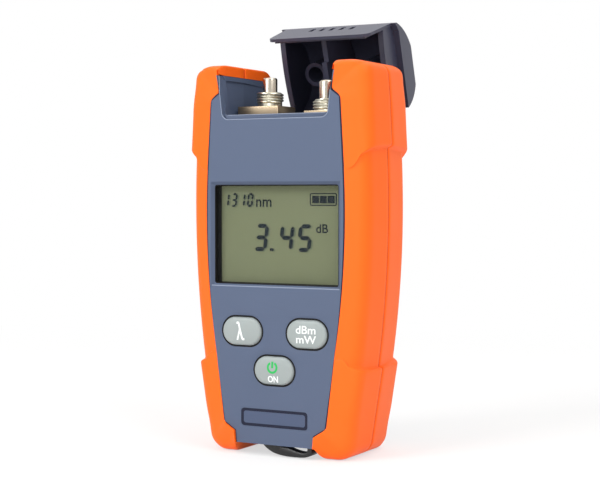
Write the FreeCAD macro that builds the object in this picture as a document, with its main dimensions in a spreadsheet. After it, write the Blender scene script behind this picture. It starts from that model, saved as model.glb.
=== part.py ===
"""Handheld optical power meter: two moulded halves with rubber bumpers, two fibre ports
under a hinged dust cover, a display, three sprung buttons and a battery bay at the back.

Millimetres. X runs across the front, Y from the front face to the back, Z up from the feet."""
import FreeCAD, Part
import math
import os
import Sketcher

SIZES = {
    # whole case: depths of the front corner line, the mould parting and the back face
    "origin_back": 27.6,
    "case_depth": 32.5,
    "corner_depth": 2.5,
    "parting_depth": 15.0,
    "rear_corner_inset": 2.5,
    "case_wall": 2.2,
    "rubber_wall": 2.2,
    "rubber_lip": 1.2,
    "rubber_flare": 2.2,
    "rubber_sole": 2.4,
    "rubber_cap": 3.2,
    # front face outline, as half widths and heights
    "face_base_x": 12.3, "face_base_z": 3.4,
    "face_foot_x": 12.4, "face_foot_z": 4.4,
    "face_step_x": 12.6, "face_step_z": 6.95,
    "face_toe_x": 16.25, "face_toe_z": 9.2,
    "face_low_x": 18.7, "face_low_z": 25.5,
    "face_hip_x": 18.9, "face_hip_z": 27.5,
    "face_waist_x": 22.0, "face_waist_z": 62.0,
    "face_chest_x": 21.75, "face_chest_z": 82.0,
    "face_head_x": 21.65, "face_head_z": 84.0,
    "face_neck_x": 20.65, "face_neck_z": 102.0,
    "face_notch_x": 17.95, "face_notch_z": 104.0,
    "face_tip_x": 18.4, "face_tip_z": 110.6,
    # corner line of the bumpers, where the front facet meets the side
    "corner_base_x": 13.0, "corner_base_z": 3.4,
    "corner_foot_x": 14.0,
    "corner_sole_x": 20.0,
    "corner_toe_x": 23.3, "corner_toe_z": 2.65,
    "corner_low_x": 26.9, "corner_low_z": 24.5,
    "corner_hip_x": 26.0, "corner_hip_z": 28.5,
    "corner_waist_x": 28.5, "corner_waist_z": 60.0,
    "corner_chest_x": 28.3, "corner_chest_z": 84.0,
    "corner_head_x": 29.9, "corner_head_z": 88.0,
    "corner_neck_x": 29.0, "corner_neck_z": 103.0,
    "corner_shoulder_x": 28.3, "corner_shoulder_z": 108.7,
    "corner_tip_x": 22.5, "corner_tip_z": 112.5,
    "seam_bulge": 0.4,
    "seam_step_rise": 1.8,
    "rear_taper": 1.5,
    "back_drop": 3.5,
    # connector bay between the horns
    "bay_half": 18.3,
    "bay_floor": 97.7,
    "notch_low_half": 15.5,
    "notch_high_half": 16.6,
    "rebate_low_half": 17.15,
    "rebate_high_half": 18.3,
    "rebate_floor": 96.4,
    "rebate_depth": 1.2,
    "rebate_corner": 2.2,
    "bay_slab": 2.6,
    "panel_front": 4.0,
    "panel_toe": 6.0,
    "panel_back": 28.0,
    "panel_floor": 99.4,
    "panel_top": 108.0,
    "panel_depth": 0.5,
    "channel_floor": 88.9,
    "channel_reach": 3.64,
    # hinge of the dust cover
    "hinge_inset": 2.26,
    "hinge_z": 91.42,
    "hinge_pin_radius": 1.0,
    "hinge_clearance": 0.05,
    "hinge_pin_half": 20.8,
    "hinge_barrel_radius": 2.0,
    "cover_open_angle": 72.0,
    # dust cover, drawn closed
    "cover_half": 17.6,
    "cover_gap": 0.3,
    "plate_low_half": 16.85,
    "plate_high_half": 18.0,
    "plate_low_z": 96.8,
    "plate_skin": 0.9,
    "plate_thickness": 1.6,
    "plate_inner_half": 15.2,
    "plate_inner_z": 98.1,
    "dome_half": 19.5,
    "dome_rim_z": 112.85,
    "dome_front_z": 110.95,
    "dome_top_z": 121.4,
    "dome_top_y": 15.2,
    "dome_crown": 1.2,
    "cover_wall": 1.7,
    "skirt_rim_z": 105.8,
    "rib_thickness": 1.6,
    "rib_floor_z": 99.2,
    "cap_ring_radius": 3.7,
    "cap_ring_bore": 2.5,
    "cap_ring_z": 110.2,
    "grip_width": 1.3,
    "grip_pitch": 3.4,
    "grip_length": 3.6,
    "grip_depth": 0.5,
    # display
    "window_half": 20.2,
    "window_low_z": 49.1,
    "window_high_z": 77.7,
    "window_corner": 0.8,
    "window_bevel": 0.9,
    "lens_margin": 0.8,
    "lens_thickness": 1.2,
    "lcd_margin": 2.2,
    "lcd_thickness": 2.8,
    "fit_gap": 0.1,
    # buttons
    "button_width": 12.8,
    "button_height": 8.1,
    "button_gap": 0.3,
    "button_proud": 0.8,
    "button_crown": 0.6,
    "button_travel": 0.5,
    "button_flange": 0.8,
    "button_flange_thickness": 0.8,
    "button_stem_radius": 1.5,
    "upper_button_x": 10.54,
    "upper_button_z": 35.6,
    "lower_button_z": 24.75,
    "well_depth": 0.35,
    "well_margin": 1.3,
    # name plate recess
    "plate_half": 10.85,
    "name_low_z": 8.4,
    "name_high_z": 13.55,
    "name_groove": 0.5,
    "name_depth": 0.7,
    "name_corner": 1.0,
    # circuit board and switches
    "board_front": 9.2,
    "board_thickness": 1.6,
    "board_half": 15.8,
    "board_low_z": 12.0,
    "board_high_z": 80.0,
    "switch_side": 6.0,
    "switch_body": 2.6,
    "switch_stem_radius": 1.6,
    # fibre ports
    "port_x": 9.4,
    "port_y": 14.5,
    "port_hole_radius": 3.3,
    "detector_flange_inner": 6.1,
    "detector_flange_outer": 7.5,
    "detector_flange_near": 6.1,
    "detector_flange_far": 4.4,
    "detector_flange_top": 100.6,
    "detector_neck_radius": 3.55,
    "detector_neck_top": 102.0,
    "thread_radius": 4.0,
    "detector_thread_top": 104.8,
    "detector_sleeve_top": 109.1,
    "laser_flange_inner": 4.4,
    "laser_flange_outer": 6.0,
    "laser_flange_near": 6.0,
    "laser_flange_far": 6.0,
    "laser_flange_top": 98.9,
    "laser_thread_top": 102.3,
    "laser_sleeve_top": 107.8,
    "sleeve_radius": 2.15,
    "ferrule_radius": 1.25,
    "sleeve_chamfer": 0.5,
    "module_radius": 3.1,
    "module_length": 9.0,
    # batteries and their bay
    "cell_radius": 7.25,
    "cell_length": 50.5,
    "cell_nub_radius": 2.75,
    "cell_nub": 1.0,
    "cell_gap": 0.35,
    "tray_share": 0.52,
    "tray_wall": 1.5,
    "tray_low_z": 9.6,
    "spring_space": 4.5,
    "contact_thickness": 0.4,
    "spring_radius": 2.6,
    "door_thickness": 1.6,
    "door_ledge": 1.0,
    "door_gap": 0.2,
    "door_rib": 1.2,
    # screws
    "screw_radius": 1.25,
    "screw_head_radius": 2.4,
    "screw_head": 1.6,
    "screw_length": 14.0,
    "screw_x": 15.5,
    "screw_high_z": 84.0,
    "boss_radius": 2.9,
    "pilot_gap": 0.05,
    # lanyard loop
    "loop_width": 7.6,
    "loop_thickness": 1.8,
    "loop_front": 0.9,
    "loop_left": 4.6,
    "loop_right": 11.3,
    "loop_floor": 0.35,
}


class Length:
    """A size that knows both its number and the sheet expression behind it."""

    def __init__(self, value, text):
        self.value = value
        self.text = text

    def __add__(self, other):
        other = length(other)
        return Length(self.value + other.value, f"({self.text} + {other.text})")

    def __sub__(self, other):
        other = length(other)
        return Length(self.value - other.value, f"({self.text} - {other.text})")

    def __mul__(self, number):
        number = length(number)
        return Length(self.value * number.value, f"({self.text} * {number.text})")

    def __truediv__(self, number):
        number = length(number)
        return Length(self.value / number.value, f"({self.text} / {number.text})")

    def __neg__(self):
        return Length(-self.value, f"(-1 * {self.text})")

    def __radd__(self, other):
        return length(other) + self

    def __rsub__(self, other):
        return length(other) - self


class Sizes:
    """The sheet's cells by name."""


def root(value):
    return Length(math.sqrt(value.value), f"sqrt({value.text})")


def length(number):
    if isinstance(number, Length):
        return number
    return Length(float(number), f"({float(number):g})")


document = FreeCAD.newDocument("power_meter")
sheet = document.addObject("Spreadsheet::Sheet", "sizes")
size = Sizes()
for row, (alias, number) in enumerate(SIZES.items(), start=1):
    sheet.set(f"A{row}", alias)
    sheet.set(f"B{row}", str(number))
    sheet.setAlias(f"B{row}", alias)
    setattr(size, alias, Length(float(number), f"sizes.{alias}"))
document.recompute()

ZERO = length(0)
PARTS = []


# ---------------------------------------------------------------- drawing helpers
def bind(thing, prop, value):
    thing.setExpression(prop, length(value).text)


def new_body(name):
    return document.addObject("PartDesign::Body", name)


def sketch_on(body, plane, level=ZERO):
    """A sketch on one of the body's planes; level is the plane's Y (XZ), Z (XY) or X (YZ)."""
    sketch = body.newObject("Sketcher::SketchObject", body.Name + "_sketch")
    for feature in body.Origin.OriginFeatures:
        if feature.Role == plane + "_Plane":
            sketch.AttachmentSupport = [(feature, "")]
    sketch.MapMode = "FlatFace"
    bind(sketch, "AttachmentOffset.Base.z", -level if plane == "XZ" else level)
    return sketch


def pin_point(sketch, geometry, vertex, point):
    for kind, value in zip(("DistanceX", "DistanceY"), point):
        index = sketch.addConstraint(Sketcher.Constraint(kind, geometry, vertex, value.value))
        bind(sketch, f"Constraints[{index}]", value)


def vector(point):
    return FreeCAD.Vector(length(point[0]).value, length(point[1]).value, 0)


def outline(sketch, points):
    """A closed outline through points; a point given as ("arc", point) bows the edge there."""
    corners = []
    bows = {}
    for point in points:
        if point[0] == "arc":
            bows[len(corners) - 1] = tuple(length(v) for v in point[1])
        else:
            corners.append(tuple(length(v) for v in point))
    ends = []
    for index, corner in enumerate(corners):
        start, stop = vector(corner), vector(corners[(index + 1) % len(corners)])
        if index in bows:
            middle = vector(bows[index])
            turn = (middle - start).cross(stop - middle).z
            ends.append((sketch.addGeometry(Part.Arc(start, middle, stop)),) + ((1, 2) if turn > 0 else (2, 1)))
        else:
            ends.append((sketch.addGeometry(Part.LineSegment(start, stop)), 1, 2))
    for index, (edge, first, last) in enumerate(ends):
        follower = ends[(index + 1) % len(ends)]
        sketch.addConstraint(Sketcher.Constraint("Coincident", edge, last, follower[0], follower[1]))
        pin_point(sketch, edge, first, corners[index])
        if index in bows:
            mark = sketch.addGeometry(Part.Point(vector(bows[index])), True)
            pin_point(sketch, mark, 1, bows[index])
            sketch.addConstraint(Sketcher.Constraint("PointOnObject", mark, 1, edge))
    return sketch


def box_outline(sketch, low_x, high_x, low_y, high_y):
    return outline(sketch, [(low_x, low_y), (high_x, low_y), (high_x, high_y), (low_x, high_y)])


def ring(sketch, x, y, radius):
    x, y, radius = length(x), length(y), length(radius)
    edge = sketch.addGeometry(Part.Circle(vector((x, y)), FreeCAD.Vector(0, 0, 1), radius.value))
    pin_point(sketch, edge, 3, (x, y))
    index = sketch.addConstraint(Sketcher.Constraint("Radius", edge, radius.value))
    bind(sketch, f"Constraints[{index}]", radius)
    return sketch


def stadium(sketch, x, y, width, height):
    """A slot shape lying along X: two straight edges joined by half circles."""
    x, y, width, height = (length(v) for v in (x, y, width, height))
    reach = (width - height) / 2
    radius = height / 2
    corners = [(x - reach, y - radius), (x + reach, y - radius), (x + reach, y + radius), (x - reach, y + radius)]
    bows = [None, (x + reach + radius, y), None, (x - reach - radius, y)]
    points = []
    for corner, bow in zip(corners, bows):
        points.append(corner)
        if bow:
            points.append(("arc", bow))
    return outline(sketch, points)


def add(body, kind, **settings):
    feature = body.newObject("PartDesign::" + kind, f"{body.Name}_{kind.lower()}")
    for key, value in settings.items():
        if isinstance(value, Length):
            bind(feature, key, value)
        else:
            setattr(feature, key, value)
    return feature


def pad(body, sketch, depth, back=True):
    """A pad along +Y (XZ sketches), +Z or +X; back=False sends it the other way."""
    flipped = sketch_plane(sketch) == "XZ"
    return add(body, "Pad", Profile=sketch, Length=depth, Reversed=flipped == back)


def sketch_plane(sketch):
    return sketch.AttachmentSupport[0][0].Role[:2]


def pad_both(body, sketch, width):
    return add(body, "Pad", Profile=sketch, Length=width, Midplane=True)


def pocket(body, sketch, depth, back=True):
    """A pocket along +Y (XZ sketches), +Z or +X from the sketch's plane."""
    flipped = sketch_plane(sketch) == "XZ"
    return add(body, "Pocket", Profile=sketch, Length=depth, Reversed=flipped != back)


def loft(body, sketches, ruled=True):
    return add(body, "AdditiveLoft", Profile=sketches[0], Sections=sketches[1:], Ruled=ruled)


def revolve(body, sketch, axis="V_Axis"):
    return add(body, "Revolution", Profile=sketch, ReferenceAxis=(sketch, [axis]), Angle=360.0)


def combine(kind, name, base, tools):
    """A cut or a fusion of whole bodies."""
    if kind == "Cut":
        tool = tools[0]
        if len(tools) > 1:
            tool = document.addObject("Part::MultiFuse", name + "_tools")
            tool.Shapes = tools
        result = document.addObject("Part::Cut", name)
        result.Base = base
        result.Tool = tool
    else:
        result = document.addObject("Part::Multi" + kind, name)
        result.Shapes = [base] + tools
    return result


def finish(thing, label):
    """Names a finished sub-part and stands it in the case's own frame."""
    thing.Label = label
    bind(thing, "Placement.Base.y", -size.origin_back)
    PARTS.append(thing)
    return thing


def edges_at(shape, test):
    """Names of the edges that pass the test."""
    return [f"Edge{index}" for index, edge in enumerate(shape.Edges, start=1) if test(edge)]


def dress(body, kind, test, amount):
    """A fillet or a chamfer on the tip's edges that pass the test."""
    document.recompute()
    tip = body.Tip
    names = edges_at(tip.Shape, test)
    prop = "Radius" if kind == "Fillet" else "Size"
    return add(body, kind, Base=(tip, names), **{prop: length(amount)})


def along(edge, axis):
    """Whether a straight edge runs along x, y or z."""
    if len(edge.Vertexes) < 2 or edge.Curve.TypeId != "Part::GeomLine":
        return False
    run = edge.Vertexes[1].Point - edge.Vertexes[0].Point
    return abs(getattr(run, axis)) > run.Length * 0.999


def near(value, wanted, slack=0.01):
    return abs(value - length(wanted).value) < slack


# ---------------------------------------------------------------- case outlines
FACE = ["base", "foot", "step", "toe", "low", "hip", "waist", "chest", "head", "neck", "notch", "tip"]


def face_points():
    """The right half of the front face's outline, from the bottom up."""
    points = []
    for name in FACE:
        point = (getattr(size, f"face_{name}_x"), getattr(size, f"face_{name}_z"))
        points.append(("arc", point) if name == "waist" else point)
    return points


def corner_points(widen=ZERO, rise=ZERO, sole=ZERO, cap=ZERO):
    """The right half of the bumpers' corner line, wider by widen, with the waist's upper step
    higher by rise, the bottom lifted by sole and the top lowered by cap."""
    inner = size.corner_base_x - (size.corner_base_x - size.face_base_x if sole.value else ZERO)
    return [
        (inner, size.corner_base_z),
        (size.corner_foot_x, sole),
        (size.corner_sole_x, sole),
        (size.corner_toe_x + widen, size.corner_toe_z + sole),
        (size.corner_low_x + widen, size.corner_low_z),
        (size.corner_hip_x + widen, size.corner_hip_z - rise),
        ("arc", (size.corner_waist_x + widen, size.corner_waist_z)),
        (size.corner_chest_x + widen, size.corner_chest_z + rise),
        (size.corner_head_x + widen, size.corner_head_z + rise),
        (size.corner_neck_x + widen, size.corner_neck_z),
        (size.corner_shoulder_x + widen, size.corner_shoulder_z - cap),
        (size.corner_tip_x, size.corner_tip_z - cap),
    ]


def back_points(drop=ZERO):
    """The right half of the back face's outline: the front's without its notch."""
    points = face_points()[:-2]
    points.append((size.face_neck_x, size.face_notch_z))
    points.append((size.face_neck_x, size.face_tip_z - size.back_drop - drop))
    return points


def both_halves(points):
    """A closed outline from its right half, mirrored to the left."""
    left = []
    for point in reversed(points):
        if point[0] == "arc":
            left.append(("arc", (-point[1][0], point[1][1])))
        else:
            left.append((-point[0], point[1]))
    return points + left


def right_half(points):
    """A closed outline of the right half alone, shut along the middle."""
    return [(ZERO, points[0][1])] + points + [(ZERO, points[-1][1])]


def loft_case(name, stations, close):
    """A ruled loft through outlines given as (depth, points)."""
    body = new_body(name)
    sketches = [outline(sketch_on(body, "XZ", depth), close(points)) for depth, points in stations]
    loft(body, sketches)
    return body


seam = size.parting_depth
rear_corner = size.case_depth - size.rear_corner_inset
hinge_y = size.case_depth - size.hinge_inset
channel_front = hinge_y - size.channel_reach
seam_widen = size.seam_bulge
lean = -size.rear_taper

front_envelope = loft_case("front_envelope", [
    (ZERO, face_points()),
    (size.corner_depth, corner_points()),
    (seam, corner_points(seam_widen, size.seam_step_rise))], right_half)
rear_envelope = loft_case("rear_envelope", [
    (seam, corner_points(seam_widen, size.seam_step_rise)),
    (rear_corner, corner_points(lean, size.seam_step_rise)),
    (size.case_depth, back_points())], right_half)

thin = -size.rubber_wall
front_core = loft_case("front_core", [
    (ZERO, face_points()[:-1] + [(size.face_tip_x, size.corner_tip_z - size.rubber_cap)]),
    (size.rubber_lip, face_points()[:-1] + [(size.face_tip_x, size.corner_tip_z - size.rubber_cap)]),
    (size.rubber_lip + size.rubber_flare, corner_points(thin, ZERO, size.rubber_sole, size.rubber_cap)),
    (seam, corner_points(thin + seam_widen, size.seam_step_rise, size.rubber_sole, size.rubber_cap))],
    both_halves)
rear_core = loft_case("rear_core", [
    (seam, corner_points(thin + seam_widen, size.seam_step_rise, size.rubber_sole, size.rubber_cap)),
    (size.case_depth - size.rubber_lip - size.rubber_flare,
     corner_points(thin + lean, size.seam_step_rise, size.rubber_sole, size.rubber_cap)),
    (size.case_depth - size.rubber_lip, back_points(size.rubber_lip)),
    (size.case_depth, back_points(size.rubber_lip))], both_halves)


# ---------------------------------------------------------------- connector bay
def prism(name, plane, points, low, depth):
    """A tool body: an outline pushed along the plane's positive normal from a level."""
    body = new_body(name)
    pad(body, outline(sketch_on(body, plane, low), points), depth)
    return body


def trapezoid(low_half, high_half, low_z, high_z):
    return [(-low_half, low_z), (low_half, low_z), (high_half, high_z), (-high_half, high_z)]


above = size.dome_top_z
behind = size.case_depth
bay = prism("bay", "XZ", trapezoid(size.bay_half, size.bay_half, size.bay_floor, above), size.case_wall, behind)
channel = prism("channel", "XZ", trapezoid(size.bay_half, size.bay_half, size.channel_floor, above),
                channel_front, behind)
wall_panels = new_body("wall_panels")
pad_both(wall_panels, outline(sketch_on(wall_panels, "YZ"), [
    (size.panel_toe, size.panel_floor), (size.panel_back, size.panel_floor), (size.panel_back, size.panel_top),
    (size.panel_front, size.panel_top)]), (size.bay_half + size.panel_depth) * 2)


def soft_trapezoid(name, low_half, high_half, low_z, high_z, low_y, depth, radius):
    """A trapezoid tool with its two lower corners rounded."""
    body = prism(name, "XZ", trapezoid(low_half, high_half, low_z, high_z), low_y, depth)
    floor = lambda edge: along(edge, "y") and near(edge.CenterOfMass.z, low_z)
    dress(body, "Fillet", floor, radius)
    return body


rebate_shape = (size.rebate_low_half, size.rebate_high_half, size.rebate_floor, size.corner_tip_z)
rebate = soft_trapezoid("rebate", *rebate_shape, -size.case_wall, size.case_wall + size.rebate_depth,
                        size.rebate_corner)
notch = soft_trapezoid("notch", size.notch_low_half, size.notch_high_half, size.bay_floor, above,
                       -size.case_wall, size.case_wall * 3, size.rebate_corner / 2)

# the plate's lower edge swings up past the notch, so nothing of the case may stand outside this radius
swing_radius = root((hinge_y - size.plate_skin) * (hinge_y - size.plate_skin)
                    + (size.plate_low_z - size.hinge_z) * (size.plate_low_z - size.hinge_z)) - size.cover_gap / 2


def swing_point(z):
    return (hinge_y - root(swing_radius * swing_radius - (z - size.hinge_z) * (z - size.hinge_z)), z)


swing_side = new_body("swing_side")
swing_middle = (size.bay_floor + size.corner_tip_z) / 2
pad_both(swing_side, outline(sketch_on(swing_side, "YZ"), [
    (-size.case_wall, size.bay_floor), swing_point(size.bay_floor), ("arc", swing_point(swing_middle)),
    swing_point(size.corner_tip_z), (-size.case_wall, size.corner_tip_z)]), size.bay_half * 3)
swing_front = soft_trapezoid("swing_front", *rebate_shape, -size.case_wall, size.case_wall * 6,
                             size.rebate_corner)
swing = combine("Common", "swing", swing_front, [swing_side])


# ---------------------------------------------------------------- bumpers
def bumper(name, envelope, core, left_label, right_label):
    right = combine("Cut", name, envelope, [core, bay, channel, notch, rebate, swing])
    left = document.addObject("Part::Mirroring", name + "_left")
    left.Source = right
    left.Normal = (1, 0, 0)
    left.Label = left_label
    PARTS.append(left)
    finish(right, right_label)


bumper("front_bumper", front_envelope, front_core, "front_left_bumper", "front_right_bumper")
bumper("rear_bumper", rear_envelope, rear_core, "rear_left_bumper", "rear_right_bumper")

# ---------------------------------------------------------------- front shell
cavity_top = size.bay_floor - size.bay_slab
cavity_low = size.face_base_z + size.case_wall
skins = size.rubber_wall + size.case_wall
wide_front = size.rubber_lip + size.rubber_flare + size.case_wall


def wide_outline(top):
    """The hollow behind the flared walls."""
    return both_halves([
        (size.corner_sole_x - skins, cavity_low),
        (size.corner_toe_x - skins, size.corner_toe_z + cavity_low),
        (size.corner_low_x - skins, size.corner_low_z),
        (size.corner_hip_x - skins, size.corner_hip_z),
        ("arc", (size.corner_waist_x - skins, size.corner_waist_z)),
        (size.corner_chest_x - skins, size.corner_chest_z),
        (size.corner_chest_x - skins, top)])


def narrow_outline(top):
    """The hollow close behind the flat face."""
    margin = size.fit_gap * 3
    return both_halves([
        (size.face_toe_x - size.case_wall, size.face_toe_z + size.case_wall),
        (size.face_low_x + margin, size.face_low_z),
        (size.face_hip_x + margin, size.face_hip_z),
        ("arc", (size.face_waist_x + margin, size.face_waist_z)),
        (size.face_chest_x + margin, size.face_chest_z),
        (size.face_neck_x - margin, top)])


front_hollow = prism("front_hollow", "XZ", wide_outline(cavity_top), wide_front, size.parting_depth)
front_narrow = prism("front_narrow", "XZ", narrow_outline(cavity_top), size.case_wall, wide_front)

buttons = {
    "wavelength_button": (-size.upper_button_x, size.upper_button_z),
    "unit_button": (size.upper_button_x, size.upper_button_z),
    "power_button": (ZERO, size.lower_button_z),
}
openings = new_body("face_openings")
window = box_outline(sketch_on(openings, "XZ", -size.case_wall), -size.window_half, size.window_half,
                     size.window_low_z, size.window_high_z)
pad(openings, window, size.case_wall * 3)
dress(openings, "Fillet", lambda edge: along(edge, "y"), size.window_corner)
button_holes = new_body("button_holes")
for x, z in buttons.values():
    hole = stadium(sketch_on(button_holes, "XZ", -size.case_wall), x, z,
                   size.button_width + size.button_gap * 2, size.button_height + size.button_gap * 2)
    pad(button_holes, hole, size.case_wall * 3)

bevel = new_body("window_bevel")
inner_face = box_outline(sketch_on(bevel, "XZ", size.window_bevel), -size.window_half, size.window_half,
                         size.window_low_z, size.window_high_z)
outer_face = box_outline(sketch_on(bevel, "XZ", ZERO), -size.window_half - size.window_bevel,
                         size.window_half + size.window_bevel, size.window_low_z - size.window_bevel,
                         size.window_high_z + size.window_bevel)
loft(bevel, [inner_face, outer_face])

wells = new_body("button_wells")
for x, z in buttons.values():
    well = stadium(sketch_on(wells, "XZ", -size.well_depth), x, z, size.button_width + size.well_margin * 2,
                   size.button_height + size.well_margin * 2)
    pad(wells, well, size.well_depth * 2)

name_recess = prism("name_recess", "XZ", trapezoid(size.plate_half, size.plate_half, size.name_low_z,
                                                  size.name_high_z), -size.case_wall,
                    size.case_wall + size.name_depth)
dress(name_recess, "Fillet", lambda edge: along(edge, "y"), size.name_corner)


def port_holes(name):
    body = new_body(name)
    sketch = sketch_on(body, "XY", cavity_top - size.case_wall)
    for side in (-1, 1):
        ring(sketch, size.port_x * side, size.port_y, size.port_hole_radius)
    pad(body, sketch, size.bay_slab + size.case_wall * 2)
    return body


def bosses(name, low_y, depth, radius):
    """Round posts, or the holes in them, at the two case screws."""
    body = new_body(name)
    sketch = sketch_on(body, "XZ", low_y)
    for side in (-1, 1):
        ring(sketch, size.screw_x * side, size.screw_high_z, radius)
    pad(body, sketch, depth)
    return body


display_room = prism("display_room", "XZ", trapezoid(
    size.window_half + size.lens_margin + size.fit_gap, size.window_half + size.lens_margin + size.fit_gap,
    size.window_low_z - size.lcd_margin - size.fit_gap, size.window_high_z + size.lens_margin + size.fit_gap),
    size.case_wall, size.board_front - size.case_wall)
holes = port_holes("port_holes")
front_box = combine("Cut", "front_box", front_core, [front_hollow, front_narrow])
front_posts = bosses("front_posts", size.case_wall / 2, seam - size.case_wall / 2, size.boss_radius)
front_solid = combine("Fuse", "front_solid", front_box, [front_posts])
pilots = bosses("pilot_holes", size.case_wall * 2, seam, size.screw_radius + size.pilot_gap)
front_shell = combine("Cut", "front_case", front_solid, [
    bay, channel, wall_panels, notch, rebate, swing, openings, bevel, button_holes, wells, name_recess, display_room,
    holes, pilots])
finish(front_shell, "front_shell")

name_plate = prism("name_badge", "XZ", trapezoid(
    size.plate_half - size.name_groove, size.plate_half - size.name_groove,
    size.name_low_z + size.name_groove, size.name_high_z - size.name_groove), size.fit_gap,
    size.name_depth - size.fit_gap)
dress(name_plate, "Fillet", lambda edge: along(edge, "y"), size.name_corner - size.name_groove)
finish(name_plate, "name_plate")

# ---------------------------------------------------------------- rear shell
low_top = size.channel_floor - size.case_wall
back_room = size.case_depth - size.case_wall - size.door_thickness
cell_x = size.cell_radius + size.cell_gap
board_back = size.board_front + size.board_thickness
cell_stack = size.tray_wall + size.cell_gap + size.cell_radius * 2
cell_spare = size.case_depth - size.door_thickness - board_back - cell_stack
cell_y = board_back + cell_spare * size.tray_share + cell_stack - size.cell_radius
tray_half = cell_x + size.cell_radius + size.cell_gap
tray_front = cell_y - size.cell_radius - size.cell_gap
tray_low = size.tray_low_z + size.tray_wall
cell_low = tray_low + size.spring_space
tray_high = cell_low + size.cell_length + size.contact_thickness + size.fit_gap
door_screw_z = tray_high + size.tray_wall / 2 + size.boss_radius
door_half = tray_half + size.door_ledge
door_low = size.tray_low_z
door_high = door_screw_z + size.boss_radius

rear_wide = prism("rear_wide", "XZ", wide_outline(low_top), seam,
                  size.case_depth - wide_front - seam)
rear_narrow = prism("rear_narrow", "XZ", narrow_outline(low_top), seam, back_room - seam)
rear_upper = prism("rear_upper", "XZ", trapezoid(size.corner_chest_x - skins, size.corner_chest_x - skins,
                                                size.face_chest_z, cavity_top), seam,
                   channel_front - size.case_wall - seam)
rear_box = combine("Cut", "rear_box", rear_core, [rear_wide, rear_narrow, rear_upper])
tray = prism("tray", "XZ", trapezoid(tray_half + size.tray_wall, tray_half + size.tray_wall,
                                    size.tray_low_z, tray_high + size.tray_wall),
             tray_front - size.tray_wall, back_room + size.fit_gap - tray_front + size.tray_wall)
rear_posts = bosses("rear_posts", seam, back_room + size.fit_gap - seam, size.boss_radius)
door_post = new_body("door_post")
pad(door_post, ring(sketch_on(door_post, "XZ", seam), ZERO, door_screw_z, size.boss_radius),
    back_room + size.fit_gap - seam)
rear_solid = combine("Fuse", "rear_solid", rear_box, [tray, rear_posts, door_post])

tray_room = prism("tray_room", "XZ", trapezoid(tray_half, tray_half, tray_low, tray_high), tray_front,
                  size.case_depth)
door_seat = prism("door_seat", "XZ", trapezoid(door_half, door_half, door_low, door_high),
                  size.case_depth - size.door_thickness - size.fit_gap, size.case_wall * 2)
dress(door_seat, "Fillet", lambda edge: along(edge, "y"), size.door_ledge)
screw_ways = bosses("screw_ways", size.case_wall, size.case_depth, size.screw_radius + size.pilot_gap)
head_seats = bosses("head_seats", size.case_depth - size.screw_head, size.case_wall * 2,
                    size.screw_head_radius + size.fit_gap)
door_pilot = new_body("door_pilot")
pad(door_pilot, ring(sketch_on(door_pilot, "XZ", seam + size.case_wall), ZERO, door_screw_z,
                     size.screw_radius + size.pilot_gap), size.case_depth)
pin_hole = new_body("pin_hole")
pad_both(pin_hole, ring(sketch_on(pin_hole, "YZ"), hinge_y, size.hinge_z, size.hinge_pin_radius),
         size.hinge_pin_half * 2)
rear_shell = combine("Cut", "rear_case", rear_solid, [
    bay, channel, wall_panels, tray_room, door_seat, screw_ways, head_seats, door_pilot, pin_hole, holes])
finish(rear_shell, "rear_shell")

hinge_pin = new_body("hinge_pin_body")
pad_both(hinge_pin, ring(sketch_on(hinge_pin, "YZ"), hinge_y, size.hinge_z, size.hinge_pin_radius),
         size.hinge_pin_half * 2)
finish(hinge_pin, "hinge_pin")

battery_door = prism("door_panel", "XZ", trapezoid(
    door_half - size.door_gap, door_half - size.door_gap, door_low + size.door_gap, door_high - size.door_gap),
    size.case_depth - size.door_thickness, size.door_thickness)
dress(battery_door, "Fillet", lambda edge: along(edge, "y"), size.door_ledge)
grip = sketch_on(battery_door, "XZ", size.case_depth)
for step in range(5):
    z = door_low + size.door_rib * 3 + size.door_rib * 2 * step
    box_outline(grip, -door_half / 2, door_half / 2, z, z + size.door_rib)
pocket(battery_door, grip, size.door_thickness / 3, back=False)
screw_way = ring(sketch_on(battery_door, "XZ", size.case_depth), ZERO, door_screw_z,
                 size.screw_radius + size.pilot_gap)
pocket(battery_door, screw_way, size.door_thickness * 2, back=False)
countersink = ring(sketch_on(battery_door, "XZ", size.case_depth), ZERO, door_screw_z,
                   size.screw_head_radius + size.fit_gap)
pocket(battery_door, countersink, size.door_thickness * 0.6, back=False)
finish(battery_door, "battery_door")


case_screws = new_body("screws")
head_seat = size.case_depth - size.screw_head
shank_circles = sketch_on(case_screws, "XZ", head_seat)
head_circles = sketch_on(case_screws, "XZ", head_seat)
for side in (-1, 1):
    ring(shank_circles, size.screw_x * side, size.screw_high_z, size.screw_radius)
    ring(head_circles, size.screw_x * side, size.screw_high_z, size.screw_head_radius)
case_screws.AllowCompound = True
pad(case_screws, head_circles, size.screw_head - size.fit_gap)
pad(case_screws, shank_circles, size.screw_length, back=False)
finish(case_screws, "case_screws")

door_screw = new_body("small_screw")
door_head_y = size.case_depth - size.door_thickness * 0.6
pad(door_screw, ring(sketch_on(door_screw, "XZ", door_head_y), ZERO, door_screw_z, size.screw_head_radius),
    size.door_thickness * 0.6 - size.fit_gap)
pad(door_screw, ring(sketch_on(door_screw, "XZ", door_head_y), ZERO, door_screw_z, size.screw_radius),
    size.screw_length / 2, back=False)
finish(door_screw, "door_screw")

# ---------------------------------------------------------------- display and circuit board
lens_front = size.case_wall + size.fit_gap
lens = prism("lens", "XZ", trapezoid(
    size.window_half + size.lens_margin, size.window_half + size.lens_margin,
    size.window_low_z - size.lens_margin, size.window_high_z + size.lens_margin), lens_front,
    size.lens_thickness)
finish(lens, "display_window")

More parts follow.
